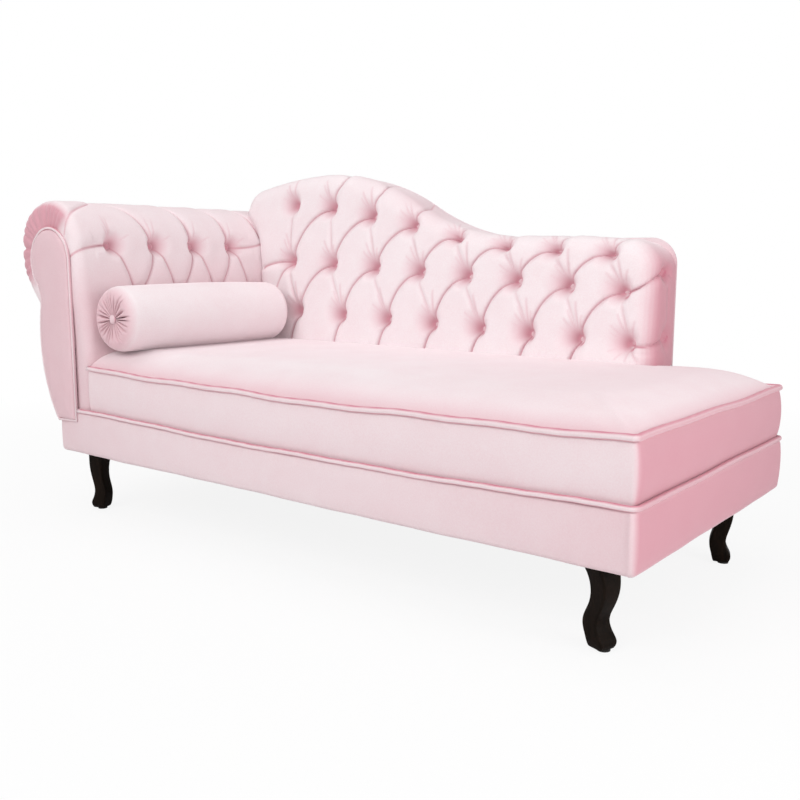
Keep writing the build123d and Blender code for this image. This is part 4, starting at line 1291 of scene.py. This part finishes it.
# Painted shade over the panel
paint_shade(outside_mesh, outside_shade)
outside_piece = cover_piece("arm_outside", outside_mesh, ["arm_outside_panel"])
padding = outside_piece.modifiers.new("padding", "SOLIDIFY")
padding.thickness = arm_panel_thickness
padding.offset = -1

rear_low, rear_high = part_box("arm_rear_panel")
rear_pencil = Pencil(arm_inner, base_high.z)
draw_arm_top(rear_pencil)
outside_below = [(x - rear_lap, z) for x, z in outside_pencil.points if z < under_roll[1] - 0.004]
rear_foot = [(facing_right, base_high.z - facing_lap)]
rear_outline = grown_outline(rear_pencil.points + outside_below + rear_foot, -rear_inset)
rear_block = block(rear_outline, rear_low.y, rear_high.y)
round_edges(rear_block, rim_edges(rear_block, rear_high.y, 0), panel_round, 3)
# Painted shade over the panel
paint_shade(rear_block, outside_shade)
cover_piece("arm_rear", rear_block, ["arm_rear_panel"])

# Tufted back: one padded cover over the front, top and foot end, with three rows of buttons.
# Between the buttons the spare cloth is folded into pleats that sweep up from one row to the next.
back_front = back_low.y
back_bottom = base_high.z
back_lean = tan(radians(4))
back_rear = back_high.y
back_corner = 0.070
back_front_round = 0.046
back_left = arm_inner - 0.105
back_low_height = 0.792
crest_x = arm_inner + 0.256
serpentine_run = 0.719
serpentine_rise = back_high.z - back_low_height
shoulder_drop = 0.026
right_settle = 0.017
left_settle = 0.010
back_row = 8
end_zone = 0.05


def draw_back(pencil):
    """The back from the foot end's floor: upright end, low flat, serpentine rise and long shoulder."""
    bend_radius = (serpentine_run**2 + serpentine_rise**2) / (4 * serpentine_rise)
    bend_turn = 2 * atan2(serpentine_rise, serpentine_run)
    shoulder_run = crest_x - back_left - back_corner
    shoulder_radius = (shoulder_run**2 + shoulder_drop**2) / (2 * shoulder_drop)
    shoulder_turn = asin(shoulder_run / shoulder_radius)
    pencil.line_to(back_right, back_low_height - back_corner)
    pencil.arc(back_corner, pi / 2)
    pencil.line_to(crest_x + serpentine_run, back_low_height)
    pencil.arc(bend_radius, -bend_turn)
    pencil.arc(bend_radius, bend_turn)
    pencil.arc(shoulder_radius, shoulder_turn)
    pencil.arc(back_corner, pi / 2 - shoulder_turn)
    meets_roll = acos((back_left - roll_x) / roll_radius)
    pencil.line_to(back_left, roll_z + roll_radius * sin(meets_roll))
    pencil.heading = meets_roll - pi / 2
    pencil.arc(roll_radius, roll_start - meets_roll)
    pencil.line_to(*shoulder)
    pencil.line_to(arm_inner, back_bottom)


back_pencil = Pencil(back_right, back_bottom)
draw_back(back_pencil)
back_block = block(back_pencil.points, back_front, back_rear)
round_edges(back_block, rim_edges(back_block, back_front, back_bottom + 0.001), back_front_round, 6)
back_mesh = even_mesh(back_block, tuft_cell)
back_places = read_points(back_mesh)[0]
face_y = back_front + (back_places[:, 2] - back_bottom) * back_lean
depth_share = (back_places[:, 1] - back_front) / (back_rear - back_front)
back_places[:, 1] = face_y + depth_share * (back_rear - face_y)
back_mesh.vertices.foreach_set("co", back_places.ravel())
back_mesh.update()
back_places, back_normals = read_points(back_mesh)


def lay_out_back(places, normals):
    """Lay the back cover out flat: the part that turns over an edge goes on past it."""
    behind_face = np.clip(places[:, 1] - (back_front + (places[:, 2] - back_bottom) * back_lean), 0, 0.2)
    outward = normals[:, [0, 2]]
    outward = outward / np.maximum(np.linalg.norm(outward, axis=1, keepdims=True), 0.15)
    return places[:, [0, 2]] + behind_face[:, None] * outward


back_spots = lay_out_back(back_places, back_normals)
back_tufts = Tufting(back_spots, radians(155))
back_buttons = button_places("back_buttons")
end_buttons = [p for p in back_buttons if p.x > back_right - end_zone]
face_buttons = sorted([p for p in back_buttons if p.x <= back_right - end_zone], key=lambda p: p.z)
row_starts = range(0, len(face_buttons), back_row)
back_rows = [sorted([(p.x, p.z) for p in face_buttons[i : i + back_row]]) for i in row_starts]
lowest, middle, highest = back_rows
for row in back_rows:
    for spot in row:
        back_tufts.button(spot, tuft_depth)


def swept_pleat(lower, upper):
    """The S from a button up to the next row: steep as it leaves, level where it arrives."""
    dx, dz = upper[0] - lower[0], upper[1] - lower[1]
    leaving = (lower[0] + 0.06 * dx, lower[1] + 0.40 * dz)
    return bend(lower, leaving, (upper[0] - 0.54 * dx, upper[1] - 0.04 * dz), upper)


for lower_row, upper_row in ((lowest, middle), (middle, highest)):
    for lower, upper in zip(lower_row, upper_row[1:]):
        line = swept_pleat(lower, upper)
        back_tufts.seam(line, [0.024, 0.012, 0.009, 0.012, 0.026])
        back_tufts.pleat(line[8:] + np.array([0.002, -0.008]), [0, 0.003, 0.005], 0.009, 0.008, 1.5, 0.3)
    for number, (lower, upper) in enumerate(zip(lower_row, upper_row)):
        strength = 0.012 if number == 0 else 0.006
        drift = -0.016 if number == 0 else -0.004
        pulls = (lower[0] + drift, lower[1] + 0.05), (upper[0] + drift, upper[1] - 0.05)
        line = bend(lower, *pulls, upper)
        back_tufts.pleat(line, [strength, 0.7 * strength, 0.35 * strength], 0.020, 0.012, 1.7, 0.3)
for x, z in lowest[:-1]:
    line = bend((x - 0.034, z - 0.15), (x - 0.034, z - 0.07), (x - 0.016, z - 0.035), (x, z), 12)
    back_tufts.seam(line, [0.012, 0.013, 0.024])
for x, z in highest[1:]:
    rise = bend((x, z), (x + 0.002, z + 0.025), (x + 0.014, z + 0.05), (x + 0.034, z + 0.075), 10)
    over = np.array([[x + 0.046, z + 0.11], [x + 0.05, z + 0.30]])
    back_tufts.seam(np.vstack([rise, over]), [0.024, 0.013, 0.010, 0.010, 0.010])
for row_number, row in enumerate(back_rows):
    for number, spot in enumerate(row):
        jitter = 0.14 * sin(3.7 * number + 2.1 * row_number)
        angles = [1.62 + jitter, 1.90, 2.20 + jitter, 2.55, 1.35 - jitter]
        back_tufts.fan(spot, angles, [0.085, 0.07, 0.055, 0.045, 0.05], wrinkle_depth)

# The back's own corners: pleats into the arm seam, and round the foot end to its two buttons
seam_x = arm_inner - 0.01
first_x, first_z = middle[0]
pulls = (-0.63, first_z), (first_x - 0.05, first_z + 0.006)
back_tufts.seam(bend((seam_x, first_z - 0.018), *pulls, middle[0]), [0.010, 0.009, 0.020])
pulls = (first_x - 0.055, first_z - 0.045), (first_x - 0.03, first_z - 0.015)
back_tufts.seam(bend((first_x - 0.066, first_z - 0.10), *pulls, middle[0]), [0.0, 0.008, 0.018])
end_spots = []
for p in end_buttons:
    behind = p.y - (back_front + (p.z - back_bottom) * back_lean)
    end_spots.append((back_right + behind, p.z))
end_low, end_high = sorted(end_spots, key=lambda s: s[1])
for spot in (end_low, end_high):
    back_tufts.button(spot, 0.026, width=0.055, skew=0.2)
    x, z = spot
    pulls = (x + 0.03, z - 0.006), (x + 0.06, z - 0.03)
    back_tufts.seam(bend(spot, *pulls, (x + 0.09, z - 0.06), 8), [0.014, 0.008, 0.004])
pulls = (end_high[0] + 0.02, 0.58), (end_high[0] + 0.02, 0.65)
back_tufts.pleat(bend(end_low, *pulls, end_high, 8), [0.006, 0.004, 0.006], 0.02, 0.02, 1.8)
x, z = middle[-1]
pulls = (x + 0.05, z + 0.008), (end_high[0] - 0.07, end_high[1] - 0.002)
back_tufts.seam(bend((x, z), *pulls, end_high), [0.022, 0.010, 0.016])
x, z = lowest[-1]
pulls = (x + 0.05, z - 0.012), (end_low[0] - 0.05, end_low[1] - 0.008)
across_end = bend((x, z), *pulls, end_low)
back_tufts.seam(across_end, [0.016, 0.010, 0.014])
back_tufts.pleat(across_end[:9] - np.array([-0.01, 0.016]), [0.004, 0.004, 0], 0.010, 0.010, 1.5, 0.2)
back_tufts.fan((x, z), [2.9, 3.4, 3.9, 4.5, 5.2], [0.04, 0.045, 0.04, 0.03, 0.05], 0.004)
back_pull = (back_tufts.draw_in() - puff) * ramp(back_places[:, 1], back_rear - 0.012, back_rear - 0.072)
back_pull *= ramp(back_places[:, 2], back_bottom, back_bottom + 0.05)
back_places -= back_normals * back_pull[:, None]
ease_right = right_settle * ramp(back_places[:, 0], 0.40, 0.69) ** 1.6
ease_left = left_settle * ramp(back_places[:, 0], -0.42, -0.72) ** 1.3
back_places[:, 2] -= (ease_right + ease_left) * ramp(back_places[:, 2], 0.60, 0.78)
# Painted shade: the creases and dimples, and the sides that face the foot end
back_shade = np.maximum(back_tufts.painted_shade, side_shade_depth * np.maximum(back_normals[:, 0], 0) ** 1.5)
back_piece = sculpted_piece("tufted_back", back_mesh, back_places, back_shade, ["back_pad"])

face_heading = (0, -cos(atan2(back_lean, 1)), sin(atan2(back_lean, 1)))
back_facings = [(p, face_heading) for p in face_buttons] + [(p, (1, 0, 0)) for p in end_buttons]
covered_buttons("back_tuft_buttons", "back_buttons", back_facings, button_radius)

# Outside back: a plain panel stretched over the rear of the frame and stitched along its edges.
# It is a flat board of padding under the cover fabric, rounded at its rear edge.
outback_low, outback_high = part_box("back_outside_panel")
outback_block = block(back_pencil.points, outback_low.y, outback_high.y)
round_edges(outback_block, rim_edges(outback_block, outback_high.y, 0), 0.005, 3)
# Painted shade over the panel
paint_shade(outback_block, outside_shade)
cover_piece("back_outside", outback_block, ["back_outside_panel"])

# Bolster: a loose cylinder of fibre in a sewn cover, gathered at each end under a covered button.
# It lies on the seat against the arm, and lifts off.
bolster_radius = 0.0955
bolster_end_round = 0.036
bolster_dish = 0.009
bolster_crown = 0.004
bolster_button_radius = 0.013
bolster_pleats = 25
bolster_steps = 240
bolster_reach = 0.012
slit_depth = 0.026
bolster_low, bolster_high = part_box("bolster_cover")
bolster_low.y -= bolster_reach
bolster_middle = (bolster_low + bolster_high) / 2
bolster_half = (bolster_high.y - bolster_low.y) / 2


def bolster_half_profile():
    """Half of the bolster's section as distance along and radius, from the middle of an end."""
    end_flat = bolster_radius - bolster_end_round
    points = []
    for reach in np.linspace(0, end_flat, 40):
        dish = bolster_dish * (1 - (reach / end_flat)) ** 1.6
        points.append((-bolster_half + dish, reach))
    for angle in np.linspace(0, pi / 2, 14)[1:]:
        along = -bolster_half + bolster_end_round * (1 - cos(angle))
        points.append((along, end_flat + (bolster_end_round - bolster_crown) * sin(angle)))
    for along in np.linspace(-bolster_half + bolster_end_round, 0, 34)[1:]:
        share = along / (bolster_half - bolster_end_round)
        points.append((along, bolster_radius - bolster_crown * share**2))
    return points


bolster_profile = bolster_half_profile()
bolster_profile += [(-along, reach) for along, reach in reversed(bolster_profile[:-1])]
bolster_mesh = bmesh.new()
turn_profile(bolster_mesh, [(reach, along, 0) for along, reach in bolster_profile], (0, 1, 0), bolster_steps)
merge_points(bolster_mesh)
bolster_draft = plain_mesh("bolster_draft", bolster_mesh)
bolster_places, bolster_normals = read_points(bolster_draft)
turn = np.arctan2(bolster_places[:, 2], bolster_places[:, 0])
reach = np.hypot(bolster_places[:, 0], bolster_places[:, 2])
from_end = bolster_half - abs(bolster_places[:, 1])
phase = bolster_pleats * turn + 1.5 * np.sin(3 * turn + 1) + 0.9 * np.sin(7 * turn)
slit = (1 - abs(np.sin(phase / 2))) ** 1.8
slit_long = 0.55 + 0.45 * np.sin(2.3 * np.floor(phase / pi / 2) + 1)
on_end = ramp(from_end, 0.04, 0.025) * ramp(reach, 0.008, 0.014)
gather_reach = ramp(0.056 + 0.026 * slit_long - reach, 0, 0.034) ** 1.1 * on_end
side_wave = 0.0006 * np.sin(2 * turn + 9 * bolster_places[:, 1]) * ramp(from_end, 0, 0.05)
bolster_pull = slit_depth * slit * gather_reach + side_wave
bolster_places -= bolster_normals * bolster_pull[:, None]
bolster_places += np.array(bolster_middle)
# Painted shade: in the slits of the gathered ends, over the end faces and on the underside
end_face = ramp(abs(bolster_normals[:, 1]), 0.25, 0.90) * on_end
bolster_shade = np.maximum(slit**0.6 * gather_reach, 0.45 * end_face)
underside = ramp(bolster_normals[:, 2], 0.2, -0.8) * (1 - end_face)
bolster_shade = np.maximum(bolster_shade, 0.1 * underside)
bolster_nodes = ["bolster_cover", "bolster_core"]
bolster_piece = sculpted_piece(
    "bolster_roll", bolster_draft, bolster_places, bolster_shade, bolster_nodes, "bolster"
)
front_button, rear_button = sorted(button_places("bolster_buttons"), key=lambda p: p.y)
front_button.y -= bolster_reach
end_facings = [(front_button, (0, -1, 0)), (rear_button, (0, 1, 0))]
covered_buttons(
    "bolster_end_buttons", "bolster_buttons", end_facings, bolster_button_radius, sink=0, body="bolster"
)

# Stage: a pale floor that keeps a soft shadow, a white surround, three soft lamps and the camera.
# The camera stands where the photograph was taken from.
camera_place = Vector((1.60773, -1.89106, 0.7352))
camera_yaw = radians(38.223)
camera_pitch = radians(8.698)
camera_roll = radians(-0.125)
lens = 41.41
sensor = 36.0
floor_reach = 12.0
lamps = [
    ("key", (0.1, -3.4, 3.0), 2.4, 78),
    ("fill", (2.7, -0.4, 1.0), 1.4, 22),
    ("top", (-0.8, -0.3, 4.0), 3.0, 36),
]
middle_of_seat = Vector((0, 0, 0.5))
surround_light = 0.44
floor_paleness = 0.88

level_run = cos(camera_pitch)
forward = Vector((-sin(camera_yaw) * level_run, cos(camera_yaw) * level_run, -sin(camera_pitch)))
right = Vector((cos(camera_yaw), sin(camera_yaw), 0))
down = forward.cross(right)
rolled_right = cos(camera_roll) * right + sin(camera_roll) * down
rolled_down = cos(camera_roll) * down - sin(camera_roll) * right
camera_data = bpy.data.cameras.new("camera")
camera_data.lens = lens
camera_data.sensor_width = sensor
camera_data.clip_end = 50
camera = add_object("camera", camera_data)
columns = Matrix((rolled_right, -rolled_down, -forward)).transposed()
camera.matrix_world = Matrix.Translation(camera_place) @ columns.to_4x4()
bpy.context.scene.camera = camera

floor_finish, floor_tree, floor_shader, floor_place = new_finish("studio_floor")
floor_shader.inputs["Base Color"].default_value = srgb(236, 236, 236)
floor_shader.inputs["Roughness"].default_value = 0.9
floor_shader.inputs["Specular IOR Level"].default_value = 0.0
seen = floor_tree.nodes.new("ShaderNodeLightPath")
glow = add_node(floor_tree, "ShaderNodeEmission", {"Strength": 1.0})
from_middle = add_node(floor_tree, "ShaderNodeVectorMath", {0: floor_place}, operation="LENGTH").outputs[1]
paleness = spread(floor_tree, from_middle, 0.9, 3.0, floor_paleness, 1.0)
glow_share = combine(floor_tree, "MULTIPLY", seen.outputs["Is Camera Ray"], paleness)
mixed = add_node(
    floor_tree, "ShaderNodeMixShader", {0: glow_share, 1: floor_shader.outputs[0], 2: glow.outputs[0]}
)
link(floor_tree, mixed.outputs[0], floor_tree.nodes["Material Output"].inputs["Surface"])
floor_mesh = bmesh.new()
bmesh.ops.create_grid(floor_mesh, x_segments=1, y_segments=1, size=floor_reach)
floor_data = plain_mesh("floor", floor_mesh)
floor_data.materials.append(floor_finish)
floor = add_object("floor", floor_data)

world = bpy.data.worlds.new("studio")
world.use_nodes = True
world_tree = world.node_tree
surround = world_tree.nodes["Background"]
seen = world_tree.nodes.new("ShaderNodeLightPath")
strength = spread(world_tree, seen.outputs["Is Camera Ray"], 0, 1, surround_light, 1.0)
link(world_tree, strength, surround.inputs["Strength"])
surround.inputs["Color"].default_value = (1, 1, 1, 1)
bpy.context.scene.world = world

for lamp_name, lamp_place, lamp_size, lamp_power in lamps:
    lamp_data = bpy.data.lights.new(lamp_name, "AREA")
    lamp_data.size = lamp_size
    lamp_data.energy = lamp_power
    lamp = add_object(lamp_name, lamp_data)
    lamp.location = lamp_place
    lamp.rotation_euler = (middle_of_seat - Vector(lamp_place)).to_track_quat("-Z", "Y").to_euler()

bpy.context.scene.view_settings.view_transform = "Standard"
